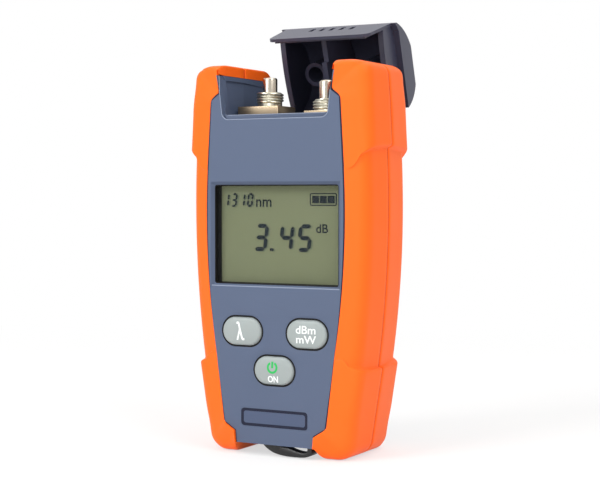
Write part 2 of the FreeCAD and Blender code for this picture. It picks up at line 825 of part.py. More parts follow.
panel_front = lens_front + size.lens_thickness + size.fit_gap
panel_half = size.window_half + size.lens_margin
panel_low = size.window_low_z - size.lcd_margin
panel_high = size.window_high_z + size.lens_margin
panel = prism("panel", "XZ", trapezoid(panel_half, panel_half, panel_low, panel_high), panel_front,
              size.lcd_thickness)
finish(panel, "display_panel")

frame_front = panel_front + size.lcd_thickness + size.fit_gap
light_frame = prism("light_frame", "XZ", trapezoid(panel_half, panel_half, panel_low, panel_high), frame_front,
                    size.board_front - size.fit_gap - frame_front)
pocket(light_frame, box_outline(sketch_on(light_frame, "XZ", frame_front), -panel_half + size.lcd_margin,
                                panel_half - size.lcd_margin, panel_low + size.lcd_margin,
                                panel_high - size.lcd_margin), size.board_front)
finish(light_frame, "display_frame")

board = prism("board", "XZ", trapezoid(size.board_half, size.board_half, size.board_low_z, size.board_high_z),
              size.board_front, size.board_thickness)
finish(board, "circuit_board")

stem_end = size.case_wall + size.fit_gap + size.button_flange_thickness + size.button_stem_radius
switch_stem_front = stem_end + size.button_travel + size.fit_gap
switch_front = size.board_front - size.switch_body
switches = new_body("switches")
switches.AllowCompound = True
cases = sketch_on(switches, "XZ", switch_front)
stems = sketch_on(switches, "XZ", switch_stem_front)
for x, z in buttons.values():
    reach = size.switch_side / 2
    box_outline(cases, x - reach, x + reach, z - reach, z + reach)
    ring(stems, x, z, size.switch_stem_radius)
pad(switches, cases, size.switch_body)
pad(switches, stems, switch_front - switch_stem_front)
finish(switches, "tact_switches")


# ---------------------------------------------------------------- buttons
def button(label, x, z):
    body = new_body(label + "_body")
    crown_y = -size.button_proud
    cap = stadium(sketch_on(body, "XZ", crown_y), x, z, size.button_width, size.button_height)
    flange_y = size.case_wall + size.fit_gap
    pad(body, cap, flange_y - crown_y + size.button_flange_thickness)
    dress(body, "Fillet", lambda edge: near(edge.BoundBox.YMin, crown_y) and near(edge.BoundBox.YMax, crown_y),
          size.button_crown)
    flange = stadium(sketch_on(body, "XZ", flange_y), x, z, size.button_width + size.button_flange * 2,
                     size.button_height + size.button_flange * 2)
    pad(body, flange, size.button_flange_thickness)
    stem = ring(sketch_on(body, "XZ", flange_y), x, z, size.button_stem_radius)
    pad(body, stem, stem_end - flange_y)
    finish(body, label)


for label, (x, z) in buttons.items():
    button(label, x, z)


# ---------------------------------------------------------------- fibre ports
def port(label, side, flange_top, neck_top, thread_top):
    """A threaded adapter: a four-sided flange on the bay's floor with a stud above and a stem below."""
    body = new_body(label + "_body")
    kind = label.split("_")[0]
    inner, outer, ahead, behind_it = (getattr(size, f"{kind}_flange_{part}")
                                      for part in ("inner", "outer", "near", "far"))
    left, right = (-outer, inner) if side < 0 else (-inner, outer)
    flange = box_outline(sketch_on(body, "XY", size.bay_floor), left, right, -ahead, behind_it)
    pad(body, flange, flange_top - size.bay_floor)
    dress(body, "Fillet", lambda edge: along(edge, "z"), size.window_corner)
    stem = ring(sketch_on(body, "XY", cavity_top - size.case_wall), ZERO, ZERO,
                size.port_hole_radius - size.fit_gap)
    pad(body, stem, size.bay_floor - cavity_top + size.case_wall)
    if neck_top is not flange_top:
        neck = ring(sketch_on(body, "XY", flange_top), ZERO, ZERO, size.detector_neck_radius)
        pad(body, neck, neck_top - flange_top)
    stud = ring(sketch_on(body, "XY", neck_top), ZERO, ZERO, size.thread_radius)
    pad(body, stud, thread_top - neck_top)
    bore = ring(sketch_on(body, "XY", thread_top), ZERO, ZERO, size.sleeve_radius + size.pilot_gap)
    pocket(body, bore, thread_top, back=False)
    place_port(body, side, label)


def sleeve(label, side, top):
    """The alignment sleeve that takes a 2.5 mm ferrule."""
    body = new_body(label + "_body")
    low = cavity_top - size.case_wall
    outline(sketch_on(body, "XZ"), [
        (size.ferrule_radius, low), (size.sleeve_radius, low), (size.sleeve_radius, top - size.sleeve_chamfer),
        (size.sleeve_radius - size.sleeve_chamfer, top), (size.ferrule_radius, top)])
    revolve(body, body.Group[-1])
    place_port(body, side, label)


def module(label, side):
    """The round can that seals the sleeve's lower end inside the case."""
    body = new_body(label + "_body")
    low = cavity_top - size.case_wall - size.module_length
    pad(body, ring(sketch_on(body, "XY", low), ZERO, ZERO, size.module_radius), size.module_length)
    place_port(body, side, label)


def place_port(body, side, label):
    finish(body, label)
    bind(body, "Placement.Base.x", size.port_x * side)
    bind(body, "Placement.Base.y", size.port_y - size.origin_back)


port("detector_port", -1, size.detector_flange_top, size.detector_neck_top,
     size.detector_thread_top)
port("laser_port", 1, size.laser_flange_top, size.laser_flange_top,
     size.laser_thread_top)
sleeve("detector_sleeve", -1, size.detector_sleeve_top)
sleeve("laser_sleeve", 1, size.laser_sleeve_top)
module("detector_module", -1)
module("laser_module", 1)


# ---------------------------------------------------------------- batteries
def cell(label, side, nub_up):
    body = new_body(label + "_body")
    low = cell_low + (ZERO if nub_up else size.cell_nub)
    can = ring(sketch_on(body, "XY", low), cell_x * side, cell_y, size.cell_radius)
    pad(body, can, size.cell_length - size.cell_nub)
    rim = lambda edge: near(edge.BoundBox.ZLength, 0)
    dress(body, "Fillet", rim, size.cell_gap)
    nub_low = low + size.cell_length - size.cell_nub if nub_up else cell_low
    pad(body, ring(sketch_on(body, "XY", nub_low), cell_x * side, cell_y, size.cell_nub_radius), size.cell_nub)
    finish(body, label)


cell("left_cell", -1, True)
cell("right_cell", 1, False)


def spring_contacts():
    """Folded leaf springs under the cells."""
    body = new_body("leaf_contacts")
    body.AllowCompound = True
    sketch = sketch_on(body, "XZ", cell_y - size.spring_radius)
    for side in (-1, 1):
        middle = cell_x * side
        low, high = tray_low, cell_low - size.fit_gap
        strip = size.contact_thickness
        reach = size.spring_radius
        outline(sketch, [
            (middle - reach, low), (middle + reach, low), (middle + reach, low + strip),
            (middle - reach + strip * 2, low + strip), (middle + reach, high), (middle - reach, high),
            (middle - reach, high - strip), (middle + reach - strip * 2, high - strip),
            (middle - reach, low + strip)])
    pad(body, sketch, size.spring_radius * 2)
    finish(body, "spring_contacts")


spring_contacts()
top_contact = new_body("top_contact_plate")
pad(top_contact, box_outline(sketch_on(top_contact, "XZ", tray_front + size.cell_gap), -tray_half + size.cell_gap,
                             tray_half - size.cell_gap, tray_high - size.contact_thickness, tray_high),
    size.cell_radius * 2)
finish(top_contact, "top_contact")

# ---------------------------------------------------------------- lanyard loop
loop_band = new_body("loop_band")
base_z = size.face_base_z
thick = size.loop_thickness
outline(sketch_on(loop_band, "XZ", size.loop_front), [
    (-size.loop_left - thick, base_z), ("arc", (size.loop_right / 4, size.loop_floor + thick * 0.3)),
    (size.loop_right * 0.75, size.loop_floor),
    ("arc", (size.loop_right - thick * 0.2, size.loop_floor + thick * 0.5)),
    (size.loop_right + thick * 0.1, base_z), (size.loop_right - thick, base_z),
    ("arc", (size.loop_right - thick * 1.25, base_z - thick * 0.45)), (size.loop_right * 0.72, base_z - thick * 0.7),
    ("arc", (size.loop_right / 3, base_z - thick * 0.6)), (-size.loop_left + thick * 1.5, base_z)])
pad(loop_band, loop_band.Group[-1], size.loop_width)
finish(loop_band, "lanyard_loop")

# ---------------------------------------------------------------- dust cover, drawn closed
back_face = hinge_y + size.hinge_barrel_radius
hip = (hinge_y - size.hinge_barrel_radius, size.hinge_z)
wall = size.cover_wall
dome_back_y = channel_front
plate_top = size.dome_front_z + size.cover_gap * 2

cover_block = new_body("cover_block")
pad_both(cover_block, outline(sketch_on(cover_block, "YZ"), [
    (size.plate_skin, size.skirt_rim_z), ("arc", (size.dome_top_y - wall, size.skirt_rim_z - size.plate_skin)),
    (size.dome_top_y + wall * 5, size.skirt_rim_z), (hip[0] - size.plate_skin / 2, size.bay_floor + wall),
    hip, ("arc", (hinge_y, size.hinge_z - size.hinge_barrel_radius)), (back_face, size.hinge_z),
    (back_face, size.bay_floor + wall), (back_face - wall * 0.8, size.skirt_rim_z + wall * 0.5),
    (dome_back_y, size.dome_rim_z), (wall * 1.6, size.dome_rim_z),
    (size.plate_skin, size.dome_front_z)]), size.cover_half * 2)

cover_dome = new_body("cover_dome")
pad_both(cover_dome, outline(sketch_on(cover_dome, "YZ"), [
    (ZERO, size.dome_front_z), (ZERO, plate_top + size.cover_gap),
    ("arc", (wall * 2.4, size.dome_top_z - wall * 2.5)),
    (size.dome_top_y, size.dome_top_z), ("arc", (size.dome_top_y + wall * 4, size.dome_top_z - wall)),
    (dome_back_y, size.dome_rim_z), (size.corner_depth + size.cover_gap, size.dome_rim_z)]),
    size.dome_half * 2)


dome_crown = prism("dome_crown", "XZ", [
    (-size.dome_half, size.skirt_rim_z), (size.dome_half, size.skirt_rim_z),
    (size.dome_half, size.dome_top_z - size.dome_crown),
    ("arc", (ZERO, size.dome_top_z)), (-size.dome_half, size.dome_top_z - size.dome_crown)],
    -size.case_wall, size.case_depth + size.case_wall)
cover_crown = combine("Common", "cover_crown", cover_dome, [dome_crown])

cover_skin = prism("cover_skin", "XZ", trapezoid(size.plate_low_half, size.plate_high_half, size.plate_low_z,
                                                plate_top), ZERO, size.plate_skin)
dress(cover_skin, "Fillet", lambda edge: along(edge, "y") and near(edge.CenterOfMass.z, size.plate_low_z),
      size.rebate_corner)
cover_plate = prism("cover_plate", "XZ", trapezoid(
    size.plate_inner_half, size.plate_inner_half, size.plate_inner_z, plate_top), ZERO,
    size.plate_thickness)
cover_solid = combine("Fuse", "cover_solid", cover_block, [cover_crown, cover_skin, cover_plate])

cover_room = new_body("cover_room")
pad_both(cover_room, outline(sketch_on(cover_room, "YZ"), [
    (size.plate_thickness, size.hinge_z + size.hinge_barrel_radius + size.fit_gap * 5),
    (size.plate_thickness, size.dome_front_z - size.cover_gap),
    ("arc", (wall * 3.2, size.dome_top_z - wall * 3.0)), (size.dome_top_y, size.dome_top_z - wall),
    ("arc", (size.dome_top_y + wall * 3.3, size.dome_top_z - wall * 1.9)),
    (dome_back_y - wall, size.dome_rim_z), (back_face - wall * 1.8, size.skirt_rim_z),
    (back_face - wall, size.bay_floor + wall),
    (back_face - wall, size.hinge_z + size.hinge_barrel_radius + size.fit_gap * 5)]),
    (size.cover_half - wall) * 2)
cover_hollow = combine("Cut", "cover_hollow", cover_solid, [cover_room])

cover_rib = new_body("cover_rib")
pad_both(cover_rib, outline(sketch_on(cover_rib, "YZ"), [
    (size.plate_skin, size.rib_floor_z + size.rib_thickness), (wall * 5, size.rib_floor_z + size.rib_thickness),
    (wall * 5, size.rib_floor_z), (back_face - wall * 0.6, size.rib_floor_z),
    (back_face - wall * 1.2, size.skirt_rim_z), (dome_back_y - wall * 0.5, size.dome_rim_z),
    (size.dome_top_y + wall * 2, size.dome_top_z - wall), (size.dome_top_y, size.dome_top_z - wall * 0.6),
    (wall * 3, size.dome_top_z - wall * 3), (size.plate_skin, size.dome_front_z - wall)]), size.rib_thickness)

cap_rings = new_body("cap_rings")
cap_rings.AllowCompound = True
ring_sketch = sketch_on(cap_rings, "XY", size.cap_ring_z)
for side in (-1, 1):
    ring(ring_sketch, size.port_x * side, size.port_y, size.cap_ring_radius)
    ring(ring_sketch, size.port_x * side, size.port_y, size.cap_ring_bore)
pad(cap_rings, ring_sketch, size.dome_top_z - wall * 0.6 - size.cap_ring_z)
cover_full = combine("Fuse", "cover_full", cover_hollow, [cover_rib, cap_rings])

pin_way = new_body("pin_way")
pad_both(pin_way, ring(sketch_on(pin_way, "YZ"), hinge_y, size.hinge_z,
                       size.hinge_pin_radius + size.hinge_clearance), size.case_depth * 2)
grips = new_body("grips")
grips.AllowCompound = True
grip_sketch = sketch_on(grips, "XZ", -size.grip_depth)
grip_low = size.dome_front_z - size.grip_length - wall
for step in range(-2, 3):
    x = size.grip_pitch * step
    box_outline(grip_sketch, x - size.grip_width / 2, x + size.grip_width / 2, grip_low,
                grip_low + size.grip_length)
pad(grips, grip_sketch, size.grip_depth * 2)
dust_cover = combine("Cut", "cover", cover_full, [pin_way, grips])
dust_cover.Label = "dust_cover"
PARTS.append(dust_cover)

# the cover stands swung back about its pin
angle = size.cover_open_angle.text + " * 1 deg"
turned_y = f"{hinge_y.text} * cos({angle}) + {size.hinge_z.text} * sin({angle})"
turned_z = f"{size.hinge_z.text} * cos({angle}) - {hinge_y.text} * sin({angle})"
dust_cover.Placement = FreeCAD.Placement(FreeCAD.Vector(), FreeCAD.Rotation(FreeCAD.Vector(1, 0, 0), -1))
dust_cover.setExpression("Placement.Rotation.Angle", f"-{angle}")
dust_cover.setExpression("Placement.Base.y", f"{hinge_y.text} - ({turned_y}) - {size.origin_back.text}")
dust_cover.setExpression("Placement.Base.z", f"{size.hinge_z.text} - ({turned_z})")

# ---------------------------------------------------------------- checks and files
document.recompute()
for thing in document.Objects:
    if "Invalid" in thing.State or "Error" in thing.State:
        raise RuntimeError(f"{thing.Name} failed: {thing.State}")
os.makedirs("parts", exist_ok=True)
for thing in PARTS:
    shape = thing.Shape
    if shape.isNull() or not shape.isValid():
        raise RuntimeError(f"{thing.Label} has no valid shape")
    box = shape.BoundBox
    print(f"{thing.Label:22s} solids {len(shape.Solids)} volume {shape.Volume:9.1f} "
          f"x {box.XMin:6.1f} {box.XMax:6.1f} y {box.YMin:6.1f} {box.YMax:6.1f} z {box.ZMin:6.1f} {box.ZMax:6.1f}")
for thing in PARTS:
    thing.Shape.exportStep(f"parts/{thing.Label}.step")
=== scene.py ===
import bmesh
import bpy
import math
from mathutils import Matrix, Vector


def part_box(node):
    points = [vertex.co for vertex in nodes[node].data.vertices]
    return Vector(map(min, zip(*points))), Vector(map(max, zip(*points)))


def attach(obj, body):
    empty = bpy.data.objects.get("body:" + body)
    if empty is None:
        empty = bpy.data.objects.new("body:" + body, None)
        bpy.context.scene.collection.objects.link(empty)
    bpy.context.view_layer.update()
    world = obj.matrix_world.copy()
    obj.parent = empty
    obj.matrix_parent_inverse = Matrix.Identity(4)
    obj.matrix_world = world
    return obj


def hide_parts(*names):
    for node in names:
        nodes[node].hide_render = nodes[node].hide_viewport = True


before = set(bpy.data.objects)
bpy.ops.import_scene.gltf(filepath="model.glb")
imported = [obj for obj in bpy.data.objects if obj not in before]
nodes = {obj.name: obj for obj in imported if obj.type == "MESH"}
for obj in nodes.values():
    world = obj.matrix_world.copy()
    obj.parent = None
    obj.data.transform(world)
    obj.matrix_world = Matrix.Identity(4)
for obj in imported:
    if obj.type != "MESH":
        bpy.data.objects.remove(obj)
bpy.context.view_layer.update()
scene = bpy.context.scene
scene.view_settings.view_transform = "Standard"
mm = 0.001
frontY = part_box("front_shell")[0][1]  # depth of the front face, from the CAD


def at(x, y, z):  # millimetres from the front face and the feet, to the shared frame
    return Vector((x * mm, frontY + y * mm, z * mm))


def srgb(r, g, b):  # 0 to 255 as seen, to the linear colour that a shader takes
    out = []
    for value in (r, g, b):
        c = value / 255
        out.append(c / 12.92 if c <= 0.04045 else ((c + 0.055) / 1.055) ** 2.4)
    return (*out, 1)


def placed(name, data):  # a new object in the scene
    thing = bpy.data.objects.new(name, data)
    scene.collection.objects.link(thing)
    return thing


def link(tree, source, output, target, entry=None):  # the two sockets have one name unless entry is given
    tree.links.new(source.outputs[output], target.inputs[output if entry is None else entry])


def setInputs(node, values):
    for label, value in values.items():
        node.inputs[label].default_value = value


def addNode(tree, kind, values=None, **settings):  # settings are the node's own, values are its sockets'
    node = tree.nodes.new(kind)
    for label, value in settings.items():
        setattr(node, label, value)
    setInputs(node, values or {})
    return node


def feed(tree, value, entry):  # a number, or another node's output, into a socket
    if isinstance(value, (int, float)):
        entry.default_value = value
    else:
        tree.links.new(value, entry)


def mathNode(tree, operation, first, second, clamp=False):
    node = addNode(tree, "ShaderNodeMath", operation=operation, use_clamp=clamp)
    feed(tree, first, node.inputs[0])
    feed(tree, second, node.inputs[1])
    return node.outputs[0]


def newMaterial(name, values):
    material = bpy.data.materials.new(name)
    material.use_nodes = True
    shader = material.node_tree.nodes["Principled BSDF"]
    setInputs(shader, values)
    return material, material.node_tree, shader


# camera and light first

view = {
    "place": (0.200584, -0.381435, 0.075196),
    "right": (0.8788, 0.4772, 0.0),
    "up": (-0.0173, 0.0319, 0.9993),
    "back": (0.4768, -0.8782, 0.0363),
    "lens": 86.055,
}


def makeCamera():
    data = bpy.data.cameras.new("camera")
    data.lens = view["lens"]
    data.sensor_width = 36
    data.clip_start, data.clip_end = 0.01, 20
    camera = placed("camera", data)
    turn = Matrix((view["right"], view["up"], view["back"])).transposed().to_4x4()
    camera.matrix_world = Matrix.Translation(view["place"]) @ turn
    scene.camera = camera


studio = {
    "keyPower": 5.9, "keySize": 0.45, "keyPlace": (-0.35, -0.75, 0.62),
    "fillPower": 3.4, "fillSize": 0.5, "fillPlace": (0.62, -0.3, 0.75),
    "lowPower": 2.6, "lowSize": 0.5, "lowPlace": (0.3, -0.95, 0.04),
    "topPower": 2.4, "topSize": 0.7, "topPlace": (0.0, 0.12, 0.8),
    "target": (0, 0, 0.06), "skyStrength": 0.4,
    "floorColour": srgb(248, 247, 246),
    "nearGlow": 0.62, "farGlow": 1.0, "glowStart": 0.1, "glowEnd": 0.4,
}


backdrop = {"front": -3.0, "back": 1.6, "rise": 1.6, "half": 3.0, "radius": 0.6, "steps": 16}


def areaLight(name):
    data = bpy.data.lights.new(name, "AREA")
    data.shape = "SQUARE"
    data.size = studio[name + "Size"]
    data.energy = studio[name + "Power"]
    lamp = placed(name, data)
    lamp.location = studio[name + "Place"]
    lamp.rotation_euler = (Vector(studio["target"]) - lamp.location).to_track_quat("-Z", "Y").to_euler()


def raysThatSee(tree):  # 1 for the rays that show the background: seen, mirrored or through glass
    path = addNode(tree, "ShaderNodeLightPath")
    last = path.outputs["Is Camera Ray"]
    for label in ("Is Glossy Ray", "Is Transmission Ray"):
        last = mathNode(tree, "MAXIMUM", last, path.outputs[label])
    return last


def makeSky():
    world = bpy.data.worlds.new("sky")
    scene.world = world
    world.use_nodes = True
    tree = world.node_tree
    background = tree.nodes["Background"]
    background.inputs["Color"].default_value = (1, 1, 1, 1)
    level = addNode(tree, "ShaderNodeMix", {"A": studio["skyStrength"], "B": 1})
    tree.links.new(raysThatSee(tree), level.inputs["Factor"])
    link(tree, level, "Result", background, "Strength")


def makeFloor():
    back, radius, steps = backdrop["back"], backdrop["radius"], backdrop["steps"]
    profile = [(backdrop["front"], 0.0), (back - radius, 0.0)]
    for step in range(1, steps + 1):
        turn = math.pi / 2 * step / steps
        profile.append((back - radius + radius * math.sin(turn), radius - radius * math.cos(turn)))
    profile.append((back, backdrop["rise"]))
    mesh = bpy.data.meshes.new("floor")
    points = [(side * backdrop["half"], y, z) for y, z in profile for side in (-1, 1)]
    faces = [(i * 2, i * 2 + 1, i * 2 + 3, i * 2 + 2) for i in range(len(profile) - 1)]
    mesh.from_pydata(points, [], faces)
    for face in mesh.polygons:
        face.use_smooth = True
    floor = placed("floor", mesh)
    material, tree, shader = newMaterial("paper", {
        "Base Color": studio["floorColour"], "Roughness": 0.85, "Specular IOR Level": 0.15})
    glow = addNode(tree, "ShaderNodeEmission", {"Color": (1, 1, 1, 1)})
    reach = addNode(tree, "ShaderNodeVectorMath", operation="LENGTH")
    link(tree, addNode(tree, "ShaderNodeTexCoord"), "Object", reach, 0)
    level = addNode(tree, "ShaderNodeMapRange", {
        "From Min": studio["glowStart"], "From Max": studio["glowEnd"],
        "To Min": studio["nearGlow"], "To Max": studio["farGlow"]}, interpolation_type="SMOOTHSTEP")
    link(tree, reach, "Value", level)
    mix = addNode(tree, "ShaderNodeMixShader")
    tree.links.new(mathNode(tree, "MULTIPLY", raysThatSee(tree), level.outputs["Result"]), mix.inputs[0])
    link(tree, shader, 0, mix, 1)
    link(tree, glow, 0, mix, 2)
    link(tree, mix, 0, tree.nodes["Material Output"], "Surface")
    mesh.materials.append(material)


makeCamera()
for lampName in ("key", "fill", "low", "top"):
    areaLight(lampName)
makeSky()
makeFloor()
print("camera, lights and floor made")

# shared shader effects

bumpDistance = 0.00002  # metres, for every grain


def newGroup(name, values):  # the inputs' kinds follow their values: none is a vector, four numbers a colour
    group = bpy.data.node_groups.new(name, "ShaderNodeTree")
    for label, value in values.items():
        kind = "Vector" if value is None else "Color" if isinstance(value, tuple) else "Float"
        socket = group.interface.new_socket(label, in_out="INPUT", socket_type="NodeSocket" + kind)
        if value is not None:
            socket.default_value = value
    for label, kind in (("Colour", "Color"), ("Roughness", "Float"), ("Height", "Float")):
        group.interface.new_socket(label, in_out="OUTPUT", socket_type="NodeSocket" + kind)
    return group, group.nodes.new("NodeGroupInput"), group.nodes.new("NodeGroupOutput")


def endGroup(group, sink, colour, roughness, height):
    for label, value in (("Colour", colour), ("Roughness", roughness), ("Height", height)):
        group.links.new(value, sink.inputs[label])
    return group


def noiseNode(tree, vector, scale, detail, roughness):
    node = addNode(tree, "ShaderNodeTexNoise", {"Detail": detail, "Roughness": roughness})
    tree.links.new(vector, node.inputs["Vector"])
    feed(tree, scale, node.inputs["Scale"])
    return node.outputs[0]


def makeMouldedGrain():  # fine spark-eroded grain with slow drifts of tone and gloss, for plastic and rubber
    group, source, sink = newGroup("mouldedGrain", {
        "Vector": None, "Grain Scale": 2500.0, "Drift Scale": 45.0, "Colour": (0.5, 0.5, 0.5, 1),
        "Tone Drift": 0.06, "Roughness": 0.5, "Gloss Drift": 0.08})
    given = source.outputs
    grain = noiseNode(group, given["Vector"], given["Grain Scale"], 3.0, 0.6)
    drift = noiseNode(group, given["Vector"], given["Drift Scale"], 3.0, 0.55)
    centred = mathNode(group, "SUBTRACT", drift, 0.5)
    speck = mathNode(group, "MULTIPLY", mathNode(group, "SUBTRACT", grain, 0.5), 0.5)
    tone = mathNode(group, "MULTIPLY", mathNode(group, "ADD", centred, speck), given["Tone Drift"])
    shade = addNode(group, "ShaderNodeVectorMath", operation="SCALE")
    group.links.new(given["Colour"], shade.inputs[0])
    group.links.new(mathNode(group, "ADD", tone, 1.0), shade.inputs["Scale"])
    gloss = mathNode(group, "MULTIPLY", centred, given["Gloss Drift"])
    rough = mathNode(group, "ADD", given["Roughness"], gloss, clamp=True)
    return endGroup(group, sink, shade.outputs[0], rough, grain)


def makeTurnedMetal():  # fine lathe marks that run level round a part, and a faint tarnish
    group, source, sink = newGroup("turnedMetal", {
        "Vector": None, "Line Scale": 9000.0, "Colour": (0.7, 0.7, 0.7, 1), "Tarnish": (0.5, 0.42, 0.3, 1),
        "Tarnish Amount": 0.25, "Roughness": 0.25, "Roughness Drift": 0.15})
    given = source.outputs
    stretch = addNode(group, "ShaderNodeVectorMath", {1: (0.01, 0.01, 1.0)}, operation="MULTIPLY")
    group.links.new(given["Vector"], stretch.inputs[0])
    lines = noiseNode(group, stretch.outputs[0], given["Line Scale"], 2.0, 0.6)
    stain = noiseNode(group, given["Vector"], 260.0, 4.0, 0.6)
    amount = mathNode(group, "MULTIPLY", stain, given["Tarnish Amount"], clamp=True)
    mix = addNode(group, "ShaderNodeMix", data_type="RGBA")
    for value, entry in ((amount, "Factor"), (given["Colour"], 6), (given["Tarnish"], 7)):
        group.links.new(value, mix.inputs[entry])
    swing = mathNode(group, "MULTIPLY", mathNode(group, "SUBTRACT", lines, 0.5), given["Roughness Drift"])
    rough = mathNode(group, "ADD", given["Roughness"], swing, clamp=True)
    return endGroup(group, sink, mix.outputs[2], rough, lines)


mouldedGrain = makeMouldedGrain()
turnedMetal = makeTurnedMetal()


def groupedMaterial(name, group, values, fixed, bump):
    material, tree, shader = newMaterial(name, fixed)
    effect = addNode(tree, "ShaderNodeGroup", values, node_tree=group)
    relief = addNode(tree, "ShaderNodeBump", {"Strength": bump, "Distance": bumpDistance})
    link(tree, addNode(tree, "ShaderNodeTexCoord"), "Object", effect, "Vector")
    link(tree, effect, "Colour", shader, "Base Color")
    link(tree, effect, "Roughness", shader)
    link(tree, effect, "Height", relief)
    link(tree, relief, "Normal", shader)
    return material


def moulded(colour, roughness, grain=2500.0, bump=0.35, tone=0.06, gloss=0.08, specular=0.5, metallic=0.0):
    values = {"Colour": srgb(*colour), "Roughness": roughness, "Grain Scale": grain, "Tone Drift": tone,
              "Gloss Drift": gloss}
    return mouldedGrain, values, {"Specular IOR Level": specular, "Metallic": metallic}, bump


def turned(colour, tarnish, roughness, amount=0.25, lines=9000.0, bump=0.15):
    values = {"Colour": srgb(*colour), "Tarnish": srgb(*tarnish), "Roughness": roughness,
              "Tarnish Amount": amount, "Line Scale": lines}
    return turnedMetal, values, {"Metallic": 1.0}, bump


recipes = {
    "softOrange": moulded((255, 105, 24), 0.5, 1900.0, 0.4, 0.05, 0.1, specular=0.2),
    # painted shade: the darker orange of the parting groove's bottom
    "seamShadeOrange": moulded((212, 60, 14), 0.6, 1900.0, 0.2, 0.05, specular=0.15),
    # painted shade: a dark navy that stands in for the shadow in the gap at the rubber lip and in the badge's
    # groove
    "paintedShadowNavy": moulded((30, 34, 52), 0.6, 2000.0, 0.2, specular=0.2),
    "slateShell": moulded((80, 92, 116), 0.52, 2300.0, 0.35, specular=0.35),
    # painted highlight: a lighter slate for the beads, standing in for the light caught on the bay's and
    # window's edges
    "paintedHighlightSlate": moulded((128, 139, 160), 0.4, 2300.0, 0.2, specular=0.4),
    "slateBack": moulded((78, 90, 113), 0.55, 2300.0, 0.4, specular=0.35),
    "coverPlastic": moulded((57, 58, 75), 0.38, 2600.0, 0.25, specular=0.36),
    "doorPlastic": moulded((76, 88, 111), 0.55, 2300.0, 0.4, specular=0.35),
    "badgeBlue": moulded((71, 83, 109), 0.42, 3200.0, 0.15, 0.04, specular=0.35),
    "keySilicone": moulded((151, 159, 158), 0.42, 2800.0, 0.22, 0.05, specular=0.4),
    "legendWhite": moulded((232, 236, 235), 0.5, 3000.0, 0.1, 0.03),
    "legendGreen": moulded((52, 178, 92), 0.5, 3000.0, 0.1, 0.04, specular=0.2),
    # black of the display mask and window seal, and painted shade in the key holes and the screw crosses
    "gasketBlackAndPaintedShade": moulded((20, 19, 19), 0.6, 2500.0, 0.2, specular=0.2),
    "screenGrey": moulded((107, 113, 85), 0.55, 5200.0, 0.05, 0.09, 0.05, specular=0.15),
    # painted shadow of the display's segments on the panel
    "screenPaintedShadow": moulded((84, 92, 72), 0.55, 5200.0, 0.05, 0.09, 0.05, specular=0.15),
    "screenInk": moulded((16, 25, 32), 0.5, 5200.0, 0.05, 0.15, specular=0.1),
    "boardGreen": moulded((24, 84, 52), 0.42, 700.0, 0.3, 0.2, 0.15),
    "innerWhite": moulded((222, 222, 214), 0.55, 2000.0, 0.2),
    "switchBlack": moulded((36, 36, 38), 0.45, 2000.0, 0.2),
    "cellWrap": moulded((196, 152, 66), 0.3, 1500.0, 0.1, 0.12, metallic=0.6),
    "strapBlack": moulded((12, 12, 13), 0.4, 1800.0, 0.35, 0.1, 0.15),
    "nickel": turned((200, 197, 182), (146, 134, 108), 0.3, 0.35),
    "champagne": turned((172, 158, 134), (140, 104, 76), 0.36, 0.5, 5200.0, 0.2),
    "sleeveMetal": turned((186, 178, 164), (122, 104, 84), 0.22, 0.3),
    "steel": turned((150, 150, 153), (96, 92, 88), 0.3, 0.3),
}
finishes = {name: groupedMaterial(name, *recipe) for name, recipe in recipes.items()}
print("finishes made:", len(finishes))

# mesh helpers

mergeGap, hairGap = 0.000001, 0.0000005  # metres: doubles closer than this are merged


def newPiece(name, mesh, finish, body, replaced=()):
    mesh.name = name
    piece = placed(name, mesh)
    mesh.materials.clear()
    mesh.materials.append(finishes[finish])
    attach(piece, body)
    if replaced:
        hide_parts(*replaced)


def smoothShade(mesh, angle):
    work = bmesh.new()
    work.from_mesh(mesh)
    limit = math.radians(angle)
    for face in work.faces:
        face.smooth = True
    for edge in work.edges:
        edge.smooth = not (len(edge.link_faces) == 2 and edge.calc_face_angle(0) > limit)
    work.to_mesh(mesh)
    work.free()


def plainMesh(work):
    mesh = bpy.data.meshes.new("draft")
    work.to_mesh(mesh)
    work.free()
    return mesh


def applied(piece):  # the piece's mesh with its modifiers taken in
    graph = bpy.context.evaluated_depsgraph_get()
    graph.update()
    mesh = bpy.data.meshes.new_from_object(piece.evaluated_get(graph))
    bpy.data.objects.remove(piece)
    return mesh


def trianglesFor(mesh):  # faces with more than four sides are cut up, so that holes in them stay open
    work = bmesh.new()
    work.from_mesh(mesh)
    bmesh.ops.triangulate(work, faces=[face for face in work.faces if len(face.verts) > 4])
    work.to_mesh(mesh)
    work.free()


def closedMesh(work, angle=None, merge=None):  # faces turned outward, and shaded smooth if given an angle
    if merge:
        bmesh.ops.remove_doubles(work, verts=work.verts, dist=merge)
    bmesh.ops.recalc_face_normals(work, faces=work.faces)
    mesh = plainMesh(work)
    if angle:
        smoothShade(mesh, angle)
    return mesh


def addTube(work, rings, looped=False):  # skins rings of points: a looped run meets itself, another gets ends
    grid = [[work.verts.new(point) for point in ring] for ring in rings]
    for a, b in zip(grid, grid[1:] + grid[:1] if looped else grid[1:]):
        for k in range(len(a)):
            after = (k + 1) % len(a)
            work.faces.new((a[k], a[after], b[after], b[k]))
    if not looped:
        work.faces.new(grid[0])
        work.faces.new(list(reversed(grid[-1])))


def closedTube(rings, angle=50):
    work = bmesh.new()
    addTube(work, rings)
    return closedMesh(work, angle, mergeGap)


def loopedTube(rings, angle=None):
    work = bmesh.new()
    addTube(work, rings, looped=True)
    return closedMesh(work, angle)


# mould-softened copies of the hard shells

